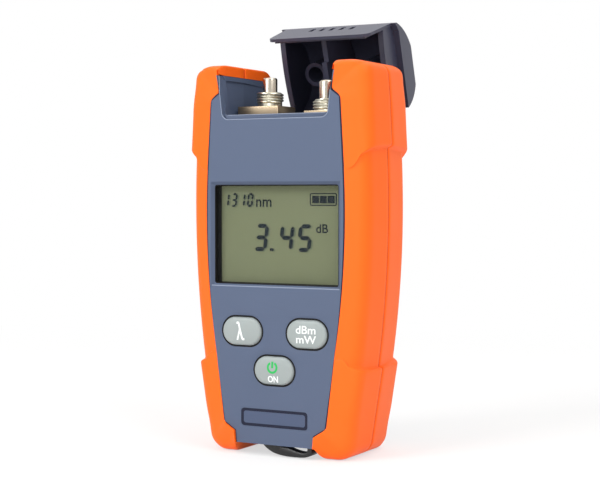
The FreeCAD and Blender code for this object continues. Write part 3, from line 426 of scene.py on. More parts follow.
keys = {
    "width": 12.8, "height": 8.1, "proud": 0.85, "edgeRound": 1.0, "edgeSteps": 6, "dome": 0.32,
    "crownShares": (0.85, 0.68, 0.5, 0.3, 0.12), "sideDepth": 2.3, "flange": 0.8, "flangeThickness": 0.8,
    "stemRadius": 1.5, "stemEnd": 4.6, "stemCut": 0.2, "stemTip": 0.02, "steps": 20, "gap": 0.3,
    "wavelength": (-10.54, 35.6), "unit": (10.54, 35.6), "power": (0.0, 24.75),
    "holeShadeFront": 0.27, "holeShadeBack": 2.1, "holeShadeGap": 0.1, "holeShadeSpread": 0.2, "holeShadeLap": 0.04, "holeShadeLip": 0.12,
}
keyRadius, keyRun = keys["height"] / 2, keys["width"] / 2 - keys["height"] / 2
keyNames = ("wavelength", "unit", "power")
well = {"depth": 0.35, "margin": 1.3, "floorMargin": 0.45, "depthSlack": 0.02, "reachSlack": 0.12}
bayLip = {"box": ((14.9, 15.8), (1.1, 2.3), (97.6, 101.3)), "out": 1.62}  # lower corners, in x, y and z
bayHead = {"near": 17.2, "far": 19.6, "back": 2.2, "foot": 104.2, "rise": 5.1, "out": 0.75}
wallPanel = {"near": 18, "far": 19, "front": 20, "top": 108, "slack": 0.1, "half": 18.34, "drop": 0.8}
plate = {"widthShare": 0.968, "heightShare": 0.84, "middle": 10.975}
shellGap, bevelSteps, bevelAngle = 0.000002, 3, 32


def spot(vert):  # a vertex's place in the millimetres that at() takes
    return vert.co.x / mm, (vert.co.y - frontY) / mm, vert.co.z / mm


def slopeWells(work):  # the key wells' walls become shallow slopes, as in the moulding
    for cx, cz in (keys[label] for label in keyNames):
        for vert in work.verts:
            x, y, z = spot(vert)
            x, z = x - cx, z - cz
            if abs(y - well["depth"]) > well["depthSlack"]:
                continue
            run = max(-keyRun, min(keyRun, x))
            away = math.hypot(x - run, z)
            if abs(away - keyRadius - well["margin"]) < well["reachSlack"]:
                scale = (keyRadius + well["floorMargin"]) / away
                vert.co = at(cx + run + (x - run) * scale, y, cz + z * scale)


def shapeFront(work):  # besides its wells, the bay's inner lip keeps near the outer one and its heads lean out
    slopeWells(work)
    for vert in work.verts:
        x, y, z = spot(vert)
        lean = (z - bayHead["foot"]) / bayHead["rise"]
        if all(low < value < high for value, (low, high) in zip((abs(x), y, z), bayLip["box"])):
            vert.co.x += math.copysign(bayLip["out"] * mm, x)
        elif lean > 0 and y < bayHead["back"] and bayHead["near"] < abs(x) < bayHead["far"]:
            vert.co.x += math.copysign(bayHead["out"] * mm * lean, x)


def shapeRear(work):  # the wall panel's top edge falls towards the back, as the rubber above it does
    for vert in work.verts:
        x, y, z = spot(vert)
        onTop = abs(z - wallPanel["top"]) < wallPanel["slack"]
        if onTop and y > wallPanel["front"] and wallPanel["near"] < abs(x) < wallPanel["far"]:
            vert.co.z -= wallPanel["drop"] * mm
            vert.co.x = math.copysign(wallPanel["half"] * mm, x)


def shapePlate(work):  # the plate draws in, to leave its groove round it
    middle = plate["middle"] * mm
    for vert in work.verts:
        vert.co.x *= plate["widthShare"]
        vert.co.z = (vert.co.z - middle) * plate["heightShare"] + middle


def softCopy(nodeName, width, finish, body, slot, shape=None):
    work = bmesh.new()
    work.from_mesh(nodes[nodeName].data)
    bmesh.ops.remove_doubles(work, verts=work.verts, dist=shellGap)
    if shape:
        shape(work)
    draft = placed("draft", plainMesh(work))
    bevel = draft.modifiers.new("edges", "BEVEL")
    bevel.width = width * mm
    bevel.segments = bevelSteps
    bevel.limit_method = "ANGLE"
    bevel.angle_limit = math.radians(bevelAngle)
    bevel.use_clamp_overlap = True
    bevel.miter_outer = "MITER_ARC"
    mesh = applied(draft)
    trianglesFor(mesh)
    smoothShade(mesh, 40)
    draft = placed("draft", mesh)
    draft.modifiers.new("flats", "WEIGHTED_NORMAL").keep_sharp = True
    newPiece(nodeName + "Soft", applied(draft), finish, body, [nodeName])


softEdges = {
    "front_shell": {"width": 0.28, "finish": "slateShell", "body": "case", "slot": "case", "shape": shapeFront},
    "rear_shell": {"width": 0.28, "finish": "slateBack", "body": "case", "slot": "case", "shape": shapeRear},
    "dust_cover": {"width": 0.22, "finish": "coverPlastic", "body": "cover", "slot": "cover"},
    "battery_door": {"width": 0.2, "finish": "doorPlastic", "body": "case", "slot": "case"},
    "name_plate": {"width": 0.12, "finish": "badgeBlue", "body": "case", "slot": "badge", "shape": shapePlate},
}
for nodeName, spec in softEdges.items():
    softCopy(nodeName, **spec)
print("shells, cover, door and plate softened")

# rubber bumpers

bumper = {
    "cornerDepth": 2.5, "seamDepth": 15.0, "rearDepth": 30.0, "backDepth": 32.5, "cornerRound": 3.4,
    "lipRound": 0.45, "lipGap": 0.32, "lipDepth": 1.15, "wall": 1.5, "innerRise": 1.6,
    "seamRound": 0.5, "seamGroove": 1.2, "seamShadeFill": 0.3, "seamGap": 0.22, "seamShadeLap": 0.02, "seamBulge": 0.4,
    "rearTaper": 1.5, "stepRise": 0.9, "creaseHeight": 87.2, "creaseReach": 3.6, "creaseSag": 6.0,
    "lowCrease": 26.4, "lipShadeDepth": 0.15, "lipShadeThickness": 0.8, "lipShadeLap": 0.06, "lipShadeRise": 0.9,
}
faceLine = [(12.3, 3.4), (12.4, 4.4), (12.6, 6.95), (16.25, 9.2), (18.6, 27.6), (18.7, 29.0),
            ("arc", 22.0, 62.0), (21.8, 81.4), (21.78, 82.9), (20.65, 102.0), (18.32, 104.0), (19.05, 110.7),
            (18.75, 111.0), (18.4, 109.6)]
cornerLine = [(13.0, 3.4), (14.0, 0.0), (20.0, 0.0), (23.3, 2.65), (26.95, 25.6), (25.6, 26.7),
              ("arc", 28.5, 60.0), (28.25, 87.1), (29.8, 87.95), (29.1, 103.0), (28.4, 110.8), (24.3, 112.5),
              (18.32, 112.5), (18.32, 109.4)]
backLine = faceLine[:10] + [(20.65, 104.0), (20.65, 107.1), (18.34, 107.1), (18.34, 106.1)]
ledges = {"relief": 0.7, "lowTop": 26.5, "lowRun": 0.8, "highFloor": 87.2, "highRun": 0.7, "fadeFloor": 6.0,
          "fadeTop": 100.0, "fadeRun": 8.0, "toeRise": 0.9, "toeTop": 9.7, "toeRun": 1.5, "gapTop": 103.0,
          "gapRun": 1.6}
bendRadii = [1.2, 2.4, 3.6, 0.55, 0.4, 0.4, 0.55, 3.0, 4.4, 3.2, 0.7]
faceRadii = [0.3, 0.5, 0.9, 1.2, 1.2, 1.2, 0.8, 0.8, 1.0, 0.6, 0.3]
runSteps = [2, 3, 4, 12, 3, 22, 3, 8, 4, 4, 3, 3]
bendSteps, arcSteps = 5, 32
trimShare = 0.45  # the most of a run that a rounding may take from one end
sectionSteps = {"lip": 4, "facet": 9, "corner": 8, "side": 7, "seam": 4}
waist = {"sides": range(3, 11), "low": (5,), "high": (7, 8)}  # which points of the corner line it moves


def cornerPoints(widen, rise):  # the corner line at another depth, its waist steps moved apart
    line = []
    for index, point in enumerate(cornerLine):
        x, z = point[-2:]
        if index in waist["sides"]:
            x += widen
        if index in waist["low"]:
            z -= rise
        if index in waist["high"]:
            z += rise
        line.append(("arc", x, z) if point[0] == "arc" else (x, z))
    return roundedLine(line, bendRadii)


def seamPoints():
    return cornerPoints(bumper["seamBulge"], bumper["stepRise"])


def arcPoints(a, b, c):  # from a to c through b
    ax, az, bx, bz, cx, cz = *a, *b, *c
    d = 2 * (ax * (bz - cz) + bx * (cz - az) + cx * (az - bz))
    aa, bb, cc = ax ** 2 + az ** 2, bx ** 2 + bz ** 2, cx ** 2 + cz ** 2
    ux = (aa * (bz - cz) + bb * (cz - az) + cc * (az - bz)) / d
    uz = (aa * (cx - bx) + bb * (ax - cx) + cc * (bx - ax)) / d
    r = math.hypot(ax - ux, az - uz)
    first, last = math.atan2(az - uz, ax - ux), math.atan2(cz - uz, cx - ux)
    turns = [first + (last - first) * i / arcSteps for i in range(arcSteps + 1)]
    return [(ux + r * math.cos(turn), uz + r * math.sin(turn)) for turn in turns]


def runsOf(line):
    runs, index = [], 0
    while index < len(line) - 1:
        if line[index + 1][0] == "arc":
            runs.append(arcPoints(line[index], line[index + 1][1:], line[index + 2]))
            index += 2
        else:
            runs.append([line[index], line[index + 1]])
            index += 1
    return runs


def runLength(run):
    return sum(math.dist(run[i], run[i + 1]) for i in range(len(run) - 1))


def alongRun(run, distance):
    for i in range(len(run) - 1):
        step = math.dist(run[i], run[i + 1])
        if distance <= step or i == len(run) - 2:
            t = distance / step
            return tuple(run[i][k] + (run[i + 1][k] - run[i][k]) * t for k in (0, 1))
        distance -= step


def roundedLine(line, radii):
    runs = runsOf(line)
    lengths = [runLength(run) for run in runs]
    room = [length * trimShare for length in lengths]
    trims = [0.0, *(min(sizes) for sizes in zip(radii, room, room[1:])), 0.0]
    points = []
    for i, run in enumerate(runs):
        start, end = trims[i], lengths[i] - trims[i + 1]
        count = runSteps[i]
        points += [alongRun(run, start + (end - start) * k / count) for k in range(count + 1)]
        if i < len(runs) - 1:
            a, b, c = points[-1], runs[i][-1], alongRun(runs[i + 1], trims[i + 1])
            for k in range(1, bendSteps + 1):
                t = k / (bendSteps + 1)
                points.append(tuple((1 - t) ** 2 * u + 2 * t * (1 - t) * v + t * t * w
                                    for u, v, w in zip(a, b, c)))
    return points


def inwardNormals(points):
    normals = []
    for i in range(len(points)):
        a, b = points[max(i - 1, 0)], points[min(i + 1, len(points) - 1)]
        dx, dz = b[0] - a[0], b[1] - a[1]
        size = math.hypot(dx, dz) or 1
        normals.append((-dz / size, dx / size))
    return normals


def offsetLine(points, outward):  # fades out towards the notch's corner
    moved = []
    for point, normal in zip(points, inwardNormals(points)):
        reach = outward * (1 - ease((point[1] - ledges["gapTop"]) / ledges["gapRun"]))
        moved.append((point[0] - normal[0] * reach, point[1] - normal[1] * reach))
    return moved


def bend(a, b, c, steps):  # a curve from a to c that leans towards b
    return [a * (1 - t) ** 2 + b * (2 * t * (1 - t)) + c * t * t for t in (k / steps for k in range(steps + 1))]


def toward(a, b, distance):
    gap = b - a
    return a + gap * min(distance / max(gap.length, 1e-6), 0.48)


def ease(value):
    value = max(0.0, min(1.0, value))
    return value * value * (3 - 2 * value)


def creaseDip(share, height):  # how far a step's crease bows between the corner and the lip
    high = math.exp(-((height - bumper["creaseHeight"]) / bumper["creaseReach"]) ** 2)
    low = math.exp(-((height - bumper["lowCrease"]) / bumper["creaseReach"]) ** 2)
    return bumper["creaseSag"] * share * (1 - share) * (low - high)


def cornerRelief(height):  # the head and the foot stand prouder than the waist
    head = ease((height - ledges["highFloor"]) / ledges["highRun"])
    head *= 1 - ease((height - ledges["fadeTop"]) / ledges["fadeRun"])
    foot = 1 - ease((height - ledges["lowTop"] + ledges["lowRun"]) / ledges["lowRun"])
    foot *= ease((height - ledges["fadeFloor"]) / ledges["fadeRun"])
    return ledges["relief"] * (head + foot)


def toeRelief(height):  # the toe's lip stands prouder than the grip above it
    return ledges["toeRise"] * (1 - ease((height - ledges["toeTop"] + ledges["toeRun"]) / ledges["toeRun"]))


def bumperSection(edgePoint, cornerPoint, seamPoint, inward, depths):
    # one closed ring across the bumper: lip, front facet, rounded corner, side, parting groove, inside
    edgeY, cornerY, seamY = depths
    into = 1 if seamY > edgeY else -1
    toe = toeRelief(edgePoint[1]) if into > 0 else 0.0
    edge = Vector((edgePoint[0], edgeY - toe, edgePoint[1]))
    lipEnd = Vector((edgePoint[0], edgeY + into * bumper["lipDepth"], edgePoint[1]))
    corner = Vector((cornerPoint[0], cornerY - into * cornerRelief(cornerPoint[1]), cornerPoint[1]))
    seam = Vector((seamPoint[0], seamY - into * bumper["seamGap"], seamPoint[1]))
    inside = Vector((inward[0], 0, inward[1]))
    down = Vector((0, into, 0))
    start = toward(edge, corner, bumper["lipRound"])
    before, after = toward(corner, edge, bumper["cornerRound"]), toward(corner, seam, bumper["cornerRound"])
    ring = [lipEnd] + bend(edge + down * bumper["lipRound"], edge, start, sectionSteps["lip"])
    for k in range(1, sectionSteps["facet"]):
        share = k / sectionSteps["facet"]
        ring.append(start + (before - start) * share + Vector((0, 0, creaseDip(share, corner.z))))
    ring += bend(before, corner, after, sectionSteps["corner"])
    nearSeam, sideSteps = toward(seam, corner, bumper["seamRound"]), sectionSteps["side"]
    ring += [after + (nearSeam - after) * k / sideSteps for k in range(1, sideSteps)]
    ring += bend(nearSeam, seam, seam + inside * bumper["seamGroove"], sectionSteps["seam"])
    ring += [seam + inside * bumper["wall"], corner + inside * bumper["wall"] + down * bumper["innerRise"]]
    return ring


def bumperMesh(edgeLine, depths, widen, side):
    edges = offsetLine(roundedLine(edgeLine, faceRadii), bumper["lipGap"])
    seams = seamPoints()
    rings = [bumperSection(*points, depths)
             for points in zip(edges, cornerPoints(widen, 0.0), seams, inwardNormals(seams))]
    return closedTube([[at(p.x * side, p.y, p.z) for p in ring] for ring in rings])


def lipShadeMesh(line, depths, side):  # painted shade: a dark strip in the gap between the hard face and the rubber lip, standing in for the shadow in that gap
    points = [point for point in roundedLine(line, faceRadii)
              if point[1] < ledges["gapTop"] + bumper["lipShadeRise"]]
    inner = offsetLine(points, -bumper["lipShadeLap"])
    outer = offsetLine(points, bumper["lipGap"] + bumper["lipShadeLap"])
    into = 1 if depths[2] > depths[0] else -1
    near = depths[0] + into * bumper["lipShadeDepth"]
    far = near + into * bumper["lipShadeThickness"]
    return closedTube([[at(x * side, y, z) for (x, z), y in ((a, near), (b, near), (b, far), (a, far))]
                       for a, b in zip(inner, outer)], 30)


def seamShadeMesh(side):  # painted shade: a darker orange strip at the bottom of the groove where the two rubber halves meet, standing in for the groove's shadow
    low = bumper["seamDepth"] - bumper["seamGap"] - bumper["seamShadeLap"]
    high = bumper["seamDepth"] + bumper["seamGap"] + bumper["seamShadeLap"]
    fill, groove = bumper["seamShadeFill"], bumper["seamGroove"]
    seams = seamPoints()
    rings = [[at((x + inX * deep) * side, y, z + inZ * deep)
              for deep, y in ((fill, low), (fill, high), (groove, high), (groove, low))]
             for (x, z), (inX, inZ) in zip(seams, inwardNormals(seams))]
    return closedTube(rings, 30)


bumperEnds = {
    "front": (faceLine, (0.0, bumper["cornerDepth"], bumper["seamDepth"]), 0.0),
    "rear": (backLine, (bumper["backDepth"], bumper["rearDepth"], bumper["seamDepth"]), -bumper["rearTaper"]),
}
for label, side in (("left", -1), ("right", 1)):
    for end, (line, depths, widen) in bumperEnds.items():
        name = f"{end}_{label}_bumper"
        newPiece(f"{end}{label.title()}Grip", bumperMesh(line, depths, widen, side), "softOrange", "case",
                 [name])
    for end, (line, depths, widen) in bumperEnds.items():
        newPiece(f"{end}{label.title()}LipShade", lipShadeMesh(line, depths, side), "paintedShadowNavy", "case")
    newPiece(label + "Seam", seamShadeMesh(side), "seamShadeOrange", "case")
print("bumpers made")

# keys


def stadiumRing(halfRun, radius):
    points = []
    for side, first in ((1, -math.pi / 2), (-1, math.pi / 2)):
        for k in range(keys["steps"] + 1):
            turn = first + math.pi * k / keys["steps"]
            points.append((side * halfRun + radius * math.cos(turn), radius * math.sin(turn)))
    return points


def keyRing(place, halfRun, radius, depth):
    return [at(place[0] + x, depth, place[1] + z) for x, z in stadiumRing(halfRun, radius)]


def crownDepth(x, z):  # height of a key's domed face, measured back from the front face
    reach = min(1.0, math.hypot(x / (keys["width"] / 2), z / (keys["height"] / 2)))
    return -keys["proud"] + keys["dome"] * reach ** 2


def keyMesh(place):
    flange, back = keyRadius + keys["flange"], keys["sideDepth"] + keys["flangeThickness"]
    stem, end, cut = keys["stemRadius"], keys["stemEnd"], keys["stemCut"]
    rim, edge = -keys["proud"] + keys["dome"], keys["edgeRound"]
    stations = [(0.0, keys["stemTip"], end), (0.0, stem - cut, end), (0.0, stem, end - cut), (0.0, stem, back),
                (keyRun, flange, back), (keyRun, flange, keys["sideDepth"]),
                (keyRun, keyRadius, keys["sideDepth"])]
    for k in range(keys["edgeSteps"] + 1):
        turn = math.pi / 2 * k / keys["edgeSteps"]
        stations.append((keyRun, keyRadius - edge * (1 - math.cos(turn)), rim + edge * (1 - math.sin(turn))))
    rings = [keyRing(place, *station) for station in stations]
    top = stations[-1][1]
    for share in keys["crownShares"]:
        rings.append([at(place[0] + x, crownDepth(x, z), place[1] + z)
                      for x, z in stadiumRing(keyRun * share, top * share)])
    return closedTube(rings, 40)


def holeShadeMesh(place):  # painted shade: a dark lining in a key's hole, which darkens the gap round the key as its shadow would
    hole, inner = keyRadius + keys["gap"], keyRadius + keys["holeShadeGap"]
    outer, lapped = hole + keys["holeShadeSpread"], hole + keys["holeShadeLap"]
    front, back = keys["holeShadeFront"], keys["holeShadeBack"]
    lip = front + keys["holeShadeLip"]
    return loopedTube([keyRing(place, keyRun, radius, depth) for radius, depth in (
        (outer, front), (inner, front), (inner, back), (lapped, back), (lapped, lip), (outer, lip))], 40)


for label in keyNames:
    newPiece(label + "HoleShade", holeShadeMesh(keys[label]), "gasketBlackAndPaintedShade", "case")
    newPiece(label + "Key", keyMesh(keys[label]), "keySilicone", label + "_key",
             [label + "_button"])
print("keys made")

# printed legends and the display's segments: flat closed shapes a hair thick


def flatShapes(shapes, front, back):  # outlines in x and z, and the depth at a point of either face
    work = bmesh.new()
    for outline in shapes:
        addTube(work, [[at(x, depth(x, z), z) for x, z in outline] for depth in (front, back)])
    return closedMesh(work)


def textMesh(words, height, centre, front, back, squeeze, weight):
    data = bpy.data.curves.new("draft", "FONT")
    data.body = words
    data.align_x = "CENTER"
    data.space_line = 0.86
    data.extrude = 0.5
    data.offset = weight
    data.resolution_u = 4
    mesh = applied(placed("draft", data))
    xs, ys = [v.co.x for v in mesh.vertices], [v.co.y for v in mesh.vertices]
    scale = height / (max(ys) - min(ys))
    midX, midY = (max(xs) + min(xs)) / 2, (max(ys) + min(ys)) / 2
    for v in mesh.vertices:
        x = centre[0] + (v.co.x - midX) * scale * squeeze
        z = centre[1] + (v.co.y - midY) * scale
        v.co = at(x, front(x, z) if v.co.z > 0 else back(x, z), z)
    work = bmesh.new()
    work.from_mesh(mesh)
    return closedMesh(work, merge=hairGap)


def onKey(label, lift):
    cx, cz = keys[label]
    return lambda x, z: crownDepth(x - cx, z - cz) + lift


legends = {
    "unit": {"words": "dBm\nmW", "height": 5.0, "shift": (0.2, -0.05), "weight": 0.012, "squeeze": 1.12},
    "power": {"words": "ON", "height": 1.9, "shift": (0.1, -2.35), "weight": 0.024, "squeeze": 0.85},
}
lift = {"front": -0.03, "glyphFront": -0.1, "back": 0.08}  # a legend's faces, from the key's crown
powerMark = {"centre": (-0.1, 0.95), "radius": 1.42, "line": 0.62, "gap": 0.5, "steps": 30, "foot": 0.15}
glyph = {"width": 3.75, "height": 5.3, "shift": (-1.35, -2.5)}
lambdaShape = [
    (0.0, 0.86), (0.0, 0.985), (0.1, 1.0), (0.2, 0.975), (0.27, 0.88), (0.56, 0.15), (0.61, 0.105),
    (0.69, 0.12),
    (0.69, 0.0), (0.58, -0.015), (0.48, 0.02), (0.42, 0.12), (0.305, 0.41), (0.145, 0.0), (0.0, 0.0),
    (0.235, 0.595), (0.14, 0.855), (0.08, 0.89)]


def wavelengthLegend():
    left, floor = (keys["wavelength"][k] + glyph["shift"][k] for k in (0, 1))
    outline = [(left + x * glyph["width"], floor + z * glyph["height"]) for x, z in lambdaShape]
    mesh = flatShapes([outline], onKey("wavelength", lift["glyphFront"]),
                      onKey("wavelength", lift["back"]))
    trianglesFor(mesh)
    newPiece("wavelengthLegend", mesh, "legendWhite", "wavelength_key")


wavelengthLegend()
for label, spec in legends.items():
    centre = [keys[label][k] + spec["shift"][k] for k in (0, 1)]
    mesh = textMesh(spec["words"], spec["height"], centre, onKey(label, lift["front"]),
                    onKey(label, lift["back"]), spec["squeeze"], spec["weight"])
    newPiece(label + "Legend", mesh, "legendWhite", label + "_key")


def powerMarkShapes():
    cx, cz = (keys["power"][k] + powerMark["centre"][k] for k in (0, 1))
    r, half, gap = powerMark["radius"], powerMark["line"] / 2, powerMark["gap"]
    turns = [math.pi / 2 + gap + (2 * math.pi - 2 * gap) * k / powerMark["steps"]
             for k in range(powerMark["steps"] + 1)]
    outer, inner = ([(cx + reach * math.cos(turn), cz + reach * math.sin(turn)) for turn in turns]
                    for reach in (r + half, r - half))
    foot, head = cz - powerMark["foot"], cz + r + half
    bar = [(cx - half, foot), (cx + half, foot), (cx + half, head), (cx - half, head)]
    return [outer + inner[::-1], bar]


newPiece("powerMark", flatShapes(powerMarkShapes(), onKey("power", lift["front"]),
                                 onKey("power", lift["back"])), "legendGreen", "power_key")
print("legends made")

# display

display = {
    "inkDepth": 3.53, "inkThickness": 0.03, "shadeDepth": 3.565, "shadeShift": (0.5, -0.15), "slant": 0.13,
    "segmentGap": 0.07, "smallDigits": "1310", "smallHeight": 4.0, "smallWidth": 1.95, "smallPitch": 2.68,
    "smallPlace": (-19.1, 71.3), "smallStroke": 0.62, "bigStroke": 1.2, "bigHeight": 7.9, "bigWidth": 4.5,
    "bigPlaces": (("3", -9.0), ("4", -0.6), ("5", 5.3)), "bigFloor": 58.6,
    "dot": (-3.3, 58.7, -2.1, 59.5, 0.24),
    "cell": (9.7, 71.7, 18.3, 75.3), "cellLine": 0.32, "cellBars": 3, "cellPad": 0.75, "barGap": 0.3,
    "cellRounds": (0.55, 0.3), "wordWeight": 0.012,
}
displayWords = {  # words, height, centre and squeeze
    "unitWord": ("dB", 2.5, (13.6, 65.3), 1.05),
    "nanoWord": ("nm", 2.2, (-5.3, 72.4), 0.95),
}
rims = {  # two outlines, each as half width, floor, top and corner; then two depths, finish and slot
    "screenMask": ((20.9, 47.5, 78.4, 0.3), (19.45, 49.5, 77.35, 0.3), (3.515, 3.585),
                   "gasketBlackAndPaintedShade", "panel"),
    "windowHoleShade": ((20.24, 49.06, 77.74, 0.8), (20.02, 49.28, 77.52, 0.62), (0.95, 2.26),
                   "gasketBlackAndPaintedShade", "case"),
    # painted shade: a dark ring at the floor of the groove round the badge, darkening the groove as its shadow
    # would
    "badgeGrooveShade": ((10.82, 8.43, 13.52, 0.96), (10.05, 9.2, 12.75, 0.8), (0.07, 0.68), "paintedShadowNavy", "badge"),
}
roundSteps = 4
segmentsOf = {"0": "abcdef", "1": "bc", "3": "abcdg", "4": "bcfg", "5": "acdfg"}


def digitShapes(digit, x, z, width, height, stroke):
    gap = stroke * display["segmentGap"]
    half = stroke / 2
    mid = height / 2

    def level(y):
        near, far = stroke + gap, width - stroke - gap
        return [(half + gap, y), (near, y + half), (far, y + half), (width - half - gap, y),
                (far, y - half), (near, y - half)]

    def upright(x, low, high):
        near, far = low + stroke + gap, high - stroke - gap
        return [(x, low + half + gap), (x + half, near), (x + half, far), (x, high - half - gap),
                (x - half, far), (x - half, near)]

    low, high = 0.0, height
    parts = {
        "a": level(high - half), "g": level(mid), "d": level(low + half),
        "f": upright(half, mid - half, high), "b": upright(width - half, mid - half, high),
        "e": upright(half, low, mid + half), "c": upright(width - half, low, mid + half),
    }
    return [[(x + px + py * display["slant"], z + py) for px, py in parts[key]] for key in segmentsOf[digit]]


def roundedBox(x0, z0, x1, z1, radius):
    points = []
    for cx, cz, first in ((x1 - radius, z1 - radius, 0), (x0 + radius, z1 - radius, 90),
                          (x0 + radius, z0 + radius, 180), (x1 - radius, z0 + radius, 270)):
        for k in range(roundSteps + 1):
            turn = math.radians(first + 90 * k / roundSteps)
            points.append((cx + radius * math.cos(turn), cz + radius * math.sin(turn)))
    return points


def displayShapes():
    shapes = []
    x, z = display["smallPlace"]
    for index, digit in enumerate(display["smallDigits"]):
        shapes += digitShapes(digit, x + index * display["smallPitch"], z, display["smallWidth"],
                              display["smallHeight"], display["smallStroke"])
    for digit, x in display["bigPlaces"]:
        shapes += digitShapes(digit, x, display["bigFloor"], display["bigWidth"], display["bigHeight"],
                              display["bigStroke"])
    shapes.append(roundedBox(*display["dot"]))
    x0, z0, x1, z1 = display["cell"]
    pad, gap = display["cellPad"], display["barGap"]
    step = (x1 - x0 - pad * 2 + gap) / display["cellBars"]
    for k in range(display["cellBars"]):
        left = x0 + pad + step * k
        right = left + step - gap
        shapes.append([(left, z0 + pad), (right, z0 + pad), (right, z1 - pad), (left, z1 - pad)])
    return shapes


def frameShape(outer, inner, front, back):  # a flat ring between two outlines of as many points
    return loopedTube([[at(x, y, z) for x, z in line] for line, y in (
        (outer, front), (inner, front), (inner, back), (outer, back))])


def evenDepth(depth):
    return lambda x, z: depth


inkNear, inkFar = display["inkDepth"], display["inkDepth"] + display["inkThickness"]
inkFront, inkBack = evenDepth(inkNear), evenDepth(inkFar)
# painted shadow: a darker copy of each segment, shifted onto the panel's face, stands in for the shadow that
# the segments cast on it
shadeX, shadeZ = display["shadeShift"]
paintedShadowShapes = [[(x + shadeX, z + shadeZ) for x, z in shape] for shape in displayShapes()]
newPiece("segments", flatShapes(displayShapes(), inkFront, inkBack), "screenInk", "case")
newPiece("segmentPaintedShadow", flatShapes(paintedShadowShapes, evenDepth(display["shadeDepth"]),
                                    evenDepth(display["shadeDepth"] + display["inkThickness"])),
         "screenPaintedShadow", "case")
for name, (outer, inner, depths, finish, slot) in rims.items():
    boxes = [roundedBox(-half, low, half, high, corner) for half, low, high, corner in (outer, inner)]
    newPiece(name, frameShape(*boxes, *depths), finish, "case")
x0, z0, x1, z1 = display["cell"]
boxes = [roundedBox(x0 + edge, z0 + edge, x1 - edge, z1 - edge, corner)
         for edge, corner in zip((0.0, display["cellLine"]), display["cellRounds"])]
newPiece("cellFrame", frameShape(*boxes, inkNear, inkFar), "screenInk", "case")
for name, (words, height, centre, squeeze) in displayWords.items():
    newPiece(name, textMesh(words, height, centre, inkFront, inkBack, squeeze, display["wordWeight"]),
             "screenInk", "case")
print("display made")

# carried-over nodes take a finish


def dressNode(name, finish):
    data = nodes[name]
    if not data.material_slots:
        data.data.materials.append(finishes[finish])
    for slot in data.material_slots:
        slot.link = "OBJECT"
        slot.material = finishes[finish]


def clearWindow():
    material, tree, shader = newMaterial("clearWindow", {"Base Color": srgb(150, 156, 152), "Roughness": 0.08})
    smear = addNode(tree, "ShaderNodeTexNoise", {"Scale": 90})
    spread = addNode(tree, "ShaderNodeMapRange", {"To Min": 0.01, "To Max": 0.035})
    link(tree, addNode(tree, "ShaderNodeTexCoord"), "Object", smear, "Vector")
    link(tree, smear, 0, spread, "Value")
    link(tree, spread, 0, shader, "Alpha")
    return material


finishes["clearWindow"] = clearWindow()
for finish, names in {
    "screenGrey": ["display_panel"], "innerWhite": ["display_frame"], "boardGreen": ["circuit_board"],
    "switchBlack": ["tact_switches"], "cellWrap": ["left_cell", "right_cell"],
    "steel": ["detector_module", "laser_module", "hinge_pin", "door_screw", "case_screws"],
    "nickel": ["spring_contacts", "top_contact"], "clearWindow": ["display_window"],
}.items():
    for name in names:
        dressNode(name, finish)
print("carried nodes dressed")

# threaded ports, turned, with their crests wound by a node tree

ports = {
    "detector": {"centre": (-9.4, 14.5), "flange": (-16.9, 8.4, -3.3, 18.9, 97.7, 100.6), "barrelTop": 104.8,
                 "crestFloor": 101.75, "crestTurns": 3.55, "sleeveTop": 109.1},
    "laser": {"centre": (9.4, 14.5), "flange": (5.0, 8.5, 15.4, 20.5, 97.7, 98.9), "barrelTop": 102.3,
              "crestFloor": 99.5, "crestTurns": 3.25, "sleeveTop": 107.8},
}
turning = {"low": 92.9, "barrelRadius": 3.55, "boreRadius": 2.2, "sleeveRadius": 2.15, "sleeveBore": 1.25,
           "pitch": 0.8, "crestRadius": 3.72, "crestThickness": 0.31, "steps": 56,
           "flangeRound": 0.22}


# how each rim draws in, as radius and height: the outer one, then the bore's
barrelRims = [(0.0, -0.35), (-0.25, -0.05), (-0.4, 0.0)], [(0.15, 0.0), (0.0, -0.15)]
sleeveRims = [(0.0, -0.5), (-0.12, -0.22), (-0.34, -0.03), (-0.48, 0.0)], [(0.2, 0.0), (0.0, -0.25)]


def turnedRing(centre, radius, bore, top, rims):  # a tube round a vertical axis, its two rims eased
    profile = [(bore, turning["low"]), (radius, turning["low"])]
    for reach, rim in zip((radius, bore), rims):
        profile += [(reach + r, top + z) for r, z in rim]
    turns = [2 * math.pi * k / turning["steps"] for k in range(turning["steps"])]
    return loopedTube([[at(centre[0] + r * math.cos(turn), centre[1] + r * math.sin(turn), z)
                        for r, z in profile] for turn in turns], 32)


def flangeMesh(box):
    x0, y0, x1, y1, z0, z1 = box
    work = bmesh.new()
    bmesh.ops.create_cube(work, size=1.0)
    for vert in work.verts:
        vert.co = at(x0 + (vert.co.x + 0.5) * (x1 - x0), y0 + (vert.co.y + 0.5) * (y1 - y0),
                     z0 + (vert.co.z + 0.5) * (z1 - z0))
    bmesh.ops.bevel(work, geom=list(work.edges), offset=turning["flangeRound"] * mm, segments=3,
                    affect="EDGES", profile=0.5)
    mesh = plainMesh(work)
    smoothShade(mesh, 40)
    return mesh


def newTree(name, sizes):  # a geometry tree with its sizes as named inputs
    tree = bpy.data.node_groups.new(name, "GeometryNodeTree")
    tree.interface.new_socket("Geometry", in_out="INPUT", socket_type="NodeSocketGeometry")
    for label, value in sizes.items():
        kind = "NodeSocketVector" if isinstance(value, tuple) else "NodeSocketFloat"
        tree.interface.new_socket(label, in_out="INPUT", socket_type=kind).default_value = value
    tree.interface.new_socket("Finish", in_out="INPUT", socket_type="NodeSocketMaterial")
    tree.interface.new_socket("Geometry", in_out="OUTPUT", socket_type="NodeSocketGeometry")
    return tree, tree.nodes.new("NodeGroupInput"), tree.nodes.new("NodeGroupOutput")


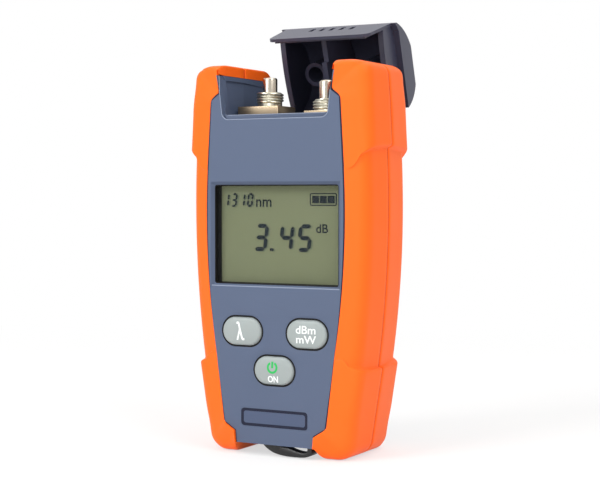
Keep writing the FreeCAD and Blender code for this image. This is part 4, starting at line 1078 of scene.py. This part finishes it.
def endTree(tree, source, sink, last, output):  # real geometry, in the finish that is asked for
    real, paint = addNode(tree, "GeometryNodeRealizeInstances"), addNode(tree, "GeometryNodeSetMaterial")
    link(tree, last, output, real, "Geometry")
    link(tree, real, "Geometry", paint)
    link(tree, source, "Finish", paint, "Material")
    link(tree, paint, "Geometry", sink)
    return tree


def makeCrestTree():
    tree, source, sink = newTree("threadCrests", {
        "Radius": 0.0037, "Turns": 3.0, "Height": 0.003, "Thickness": 0.0004, "Start": (0.0, 0.0, 0.0)})
    spiral = addNode(tree, "GeometryNodeCurveSpiral", {"Resolution": 44})
    section = addNode(tree, "GeometryNodeCurvePrimitiveCircle", {"Resolution": 8})
    sweep = addNode(tree, "GeometryNodeCurveToMesh", {"Fill Caps": True})
    move = addNode(tree, "GeometryNodeTransform")
    for output, entry in (("Turns", "Rotations"), ("Radius", "Start Radius"), ("Radius", "End Radius"),
                          ("Height", "Height")):
        link(tree, source, output, spiral, entry)
    link(tree, source, "Thickness", section, "Radius")
    link(tree, spiral, "Curve", sweep)
    link(tree, section, "Curve", sweep, "Profile Curve")
    link(tree, sweep, "Mesh", move, "Geometry")
    link(tree, source, "Start", move, "Translation")
    return endTree(tree, source, sink, move, "Geometry")


def grown(tree, values, points=()):  # the plain mesh that a node tree makes from values and points
    start = bpy.data.meshes.new("draft")
    start.from_pydata(list(points), [], [])
    draft = placed("draft", start)
    modifier = draft.modifiers.new("grow", "NODES")
    modifier.node_group = tree
    for item in tree.interface.items_tree:
        if item.in_out == "INPUT" and item.name in values:
            modifier[item.identifier] = values[item.name]
    work = bmesh.new()
    work.from_mesh(applied(draft))
    return closedMesh(work, 40, hairGap)


crestTree = makeCrestTree()
for label, spec in ports.items():
    centre = spec["centre"]
    newPiece(label + "Barrel", turnedRing(centre, turning["barrelRadius"],
                                          turning["boreRadius"], spec["barrelTop"], barrelRims),
             "nickel", "case", [label + "_port"])
    newPiece(label + "Flange", flangeMesh(spec["flange"]), "champagne", "case")
    crests = grown(crestTree, {
        "Radius": turning["crestRadius"] * mm, "Turns": spec["crestTurns"],
        "Height": spec["crestTurns"] * turning["pitch"] * mm, "Thickness": turning["crestThickness"] * mm,
        "Start": at(*centre, spec["crestFloor"])[:], "Finish": finishes["nickel"]})
    newPiece(label + "Thread", crests, "nickel", "case")
    newPiece(label + "Sleeve", turnedRing(centre, turning["sleeveRadius"],
                                          turning["sleeveBore"], spec["sleeveTop"], sleeveRims),
             "sleeveMetal", "case", [label + "_sleeve"])
print("ports turned")

# painted shade: dark crosses on the screw heads at the back, standing in for the shadow in their cross recesses

crosses = {"places": ((-15.5, 84.0), (15.5, 84.0), (0.0, 70.25)), "face": 32.4, "length": 2.5, "width": 0.62,
           "depth": 0.3, "proud": 0.02}


def makeCrossTree():
    tree, source, sink = newTree("screwCrosses", {"Length": 0.0025, "Width": 0.0006, "Depth": 0.0003})
    size = addNode(tree, "ShaderNodeCombineXYZ")
    bar = addNode(tree, "GeometryNodeMeshCube")
    turn = addNode(tree, "GeometryNodeTransform", {"Rotation": (0.0, math.pi / 2, 0.0)})
    join = addNode(tree, "GeometryNodeJoinGeometry")
    spots = addNode(tree, "GeometryNodeInstanceOnPoints")
    for output, entry in (("Length", "X"), ("Depth", "Y"), ("Width", "Z")):
        link(tree, source, output, size, entry)
    link(tree, size, "Vector", bar, "Size")
    link(tree, bar, "Mesh", turn, "Geometry")
    link(tree, bar, "Mesh", join, "Geometry")
    link(tree, turn, "Geometry", join)
    link(tree, source, "Geometry", spots, "Points")
    link(tree, join, "Geometry", spots, "Instance")
    return endTree(tree, source, sink, spots, "Instances")


crossDepth = crosses["face"] + crosses["proud"] - crosses["depth"] / 2
screwCrosses = grown(makeCrossTree(), {
    "Length": crosses["length"] * mm, "Width": crosses["width"] * mm, "Depth": crosses["depth"] * mm,
    "Finish": finishes["gasketBlackAndPaintedShade"]}, [at(x, crossDepth, z) for x, z in crosses["places"]])
newPiece("screwCrosses", screwCrosses, "gasketBlackAndPaintedShade", "case")
print("screw crosses made")

# raised beads along the connector bay's edge and below the display window, in a lighter slate that is a painted
# highlight on those edges

bay = {
    "bead": 0.13, "face": 0.03, "step": 1.22, "outer": [(-18.15, 109.2), (-17.95, 104.0), (-17.3, 98.6)],
    "centre": (-15.1, 98.6), "radius": 2.2, "floor": 97.7, "floorHalf": 15.9, "arcSteps": 8,
}
sill = {"half": 20.8, "low": 48.5, "depth": 0.3, "bead": 0.2}
beadSides, beadLean = 8, Vector((1, 0.2, 0.3))  # the lean keeps each ring's start off the bead's own line


def beadMesh(routes, radius):
    work = bmesh.new()
    turns = [2 * math.pi * k / beadSides for k in range(beadSides)]
    for route in routes:
        rings = []
        for i, point in enumerate(route):
            along = (route[min(i + 1, len(route) - 1)] - route[max(i - 1, 0)]).normalized()
            across = along.cross(beadLean).normalized()
            third = along.cross(across)
            rings.append([point + (across * math.cos(turn) + third * math.sin(turn)) * radius * mm
                          for turn in turns])
        addTube(work, rings)
    return closedMesh(work, 60)


def bayRoutes():  # round the notch at the face, and along the floor's front edge
    (cx, cz), radius, steps = bay["centre"], bay["radius"], bay["arcSteps"]
    turns = [math.pi * (1 + k / 2 / steps) for k in range(1, steps + 1)]
    left = bay["outer"] + [(cx + radius * math.cos(turn), cz + radius * math.sin(turn)) for turn in turns]
    notch = left + [(-x, z) for x, z in reversed(left[1:])]
    return [[at(x, bay["face"], z) for x, z in notch],
            [at(x * bay["floorHalf"], bay["step"], bay["floor"]) for x in (-1, 0, 1)]]


sillRoute = [at(x * sill["half"], sill["depth"], sill["low"]) for x in (-1, 1)]
newPiece("bayBead", beadMesh(bayRoutes(), bay["bead"]), "paintedHighlightSlate", "case")
newPiece("windowSill", beadMesh([sillRoute], sill["bead"]), "paintedHighlightSlate", "case")
print("bay and window edges made")

# lanyard strap under the foot

strap = {
    "outer": [(-4.4, 3.4), (-3.0, 2.2), (-0.6, 1.0), (2.6, 0.42), (6.0, 0.31), (9.4, 0.5), (11.4, 1.4),
              (11.7, 3.4)],
    "inner": [(-1.6, 3.4), (0.2, 3.35), (2.4, 3.2), (4.4, 2.8), (6.4, 2.2), (8.6, 1.8), (10.0, 2.2),
              (10.2, 3.4)],
    "front": 0.95, "endWidth": 7.5, "midWidth": 2.6, "corner": 0.25, "steps": 6, "narrowing": 0.7,
}


def smoothPoint(points, t):  # a place on the smooth curve through the points
    i = min(int(t), len(points) - 2)
    u = t - i
    p = [points[max(0, min(len(points) - 1, i + k))] for k in (-1, 0, 1, 2)]
    return tuple(0.5 * (2 * b + (c - a) * u + (2 * a - 5 * b + 4 * c - d) * u * u
                        + (3 * b - a - 3 * c + d) * u ** 3) for a, b, c, d in zip(*p))


def strapMesh():
    rings = []
    spans = len(strap["outer"]) - 1
    for k in range(spans * strap["steps"] + 1):
        t = k / strap["steps"]
        outer, inner = smoothPoint(strap["outer"], t), smoothPoint(strap["inner"], t)
        narrow = math.sin(math.pi * t / spans) ** strap["narrowing"] if 0 < t < spans else 0.0
        near = strap["front"]
        far = near + strap["endWidth"] + (strap["midWidth"] - strap["endWidth"]) * narrow
        cut = strap["corner"]
        share = cut / math.dist(outer, inner)
        low, high = [tuple(outer[j] + (inner[j] - outer[j]) * v for j in (0, 1)) for v in (share, 1 - share)]
        rings.append([at(x, y, z) for (x, z), y in (
            (outer, near + cut), (outer, far - cut), (low, far), (high, far), (inner, far - cut),
            (inner, near + cut), (high, near), (low, near))])
    return closedTube(rings, 55)


newPiece("lanyardStrap", strapMesh(), "strapBlack", "case", ["lanyard_loop"])
print("strap made")
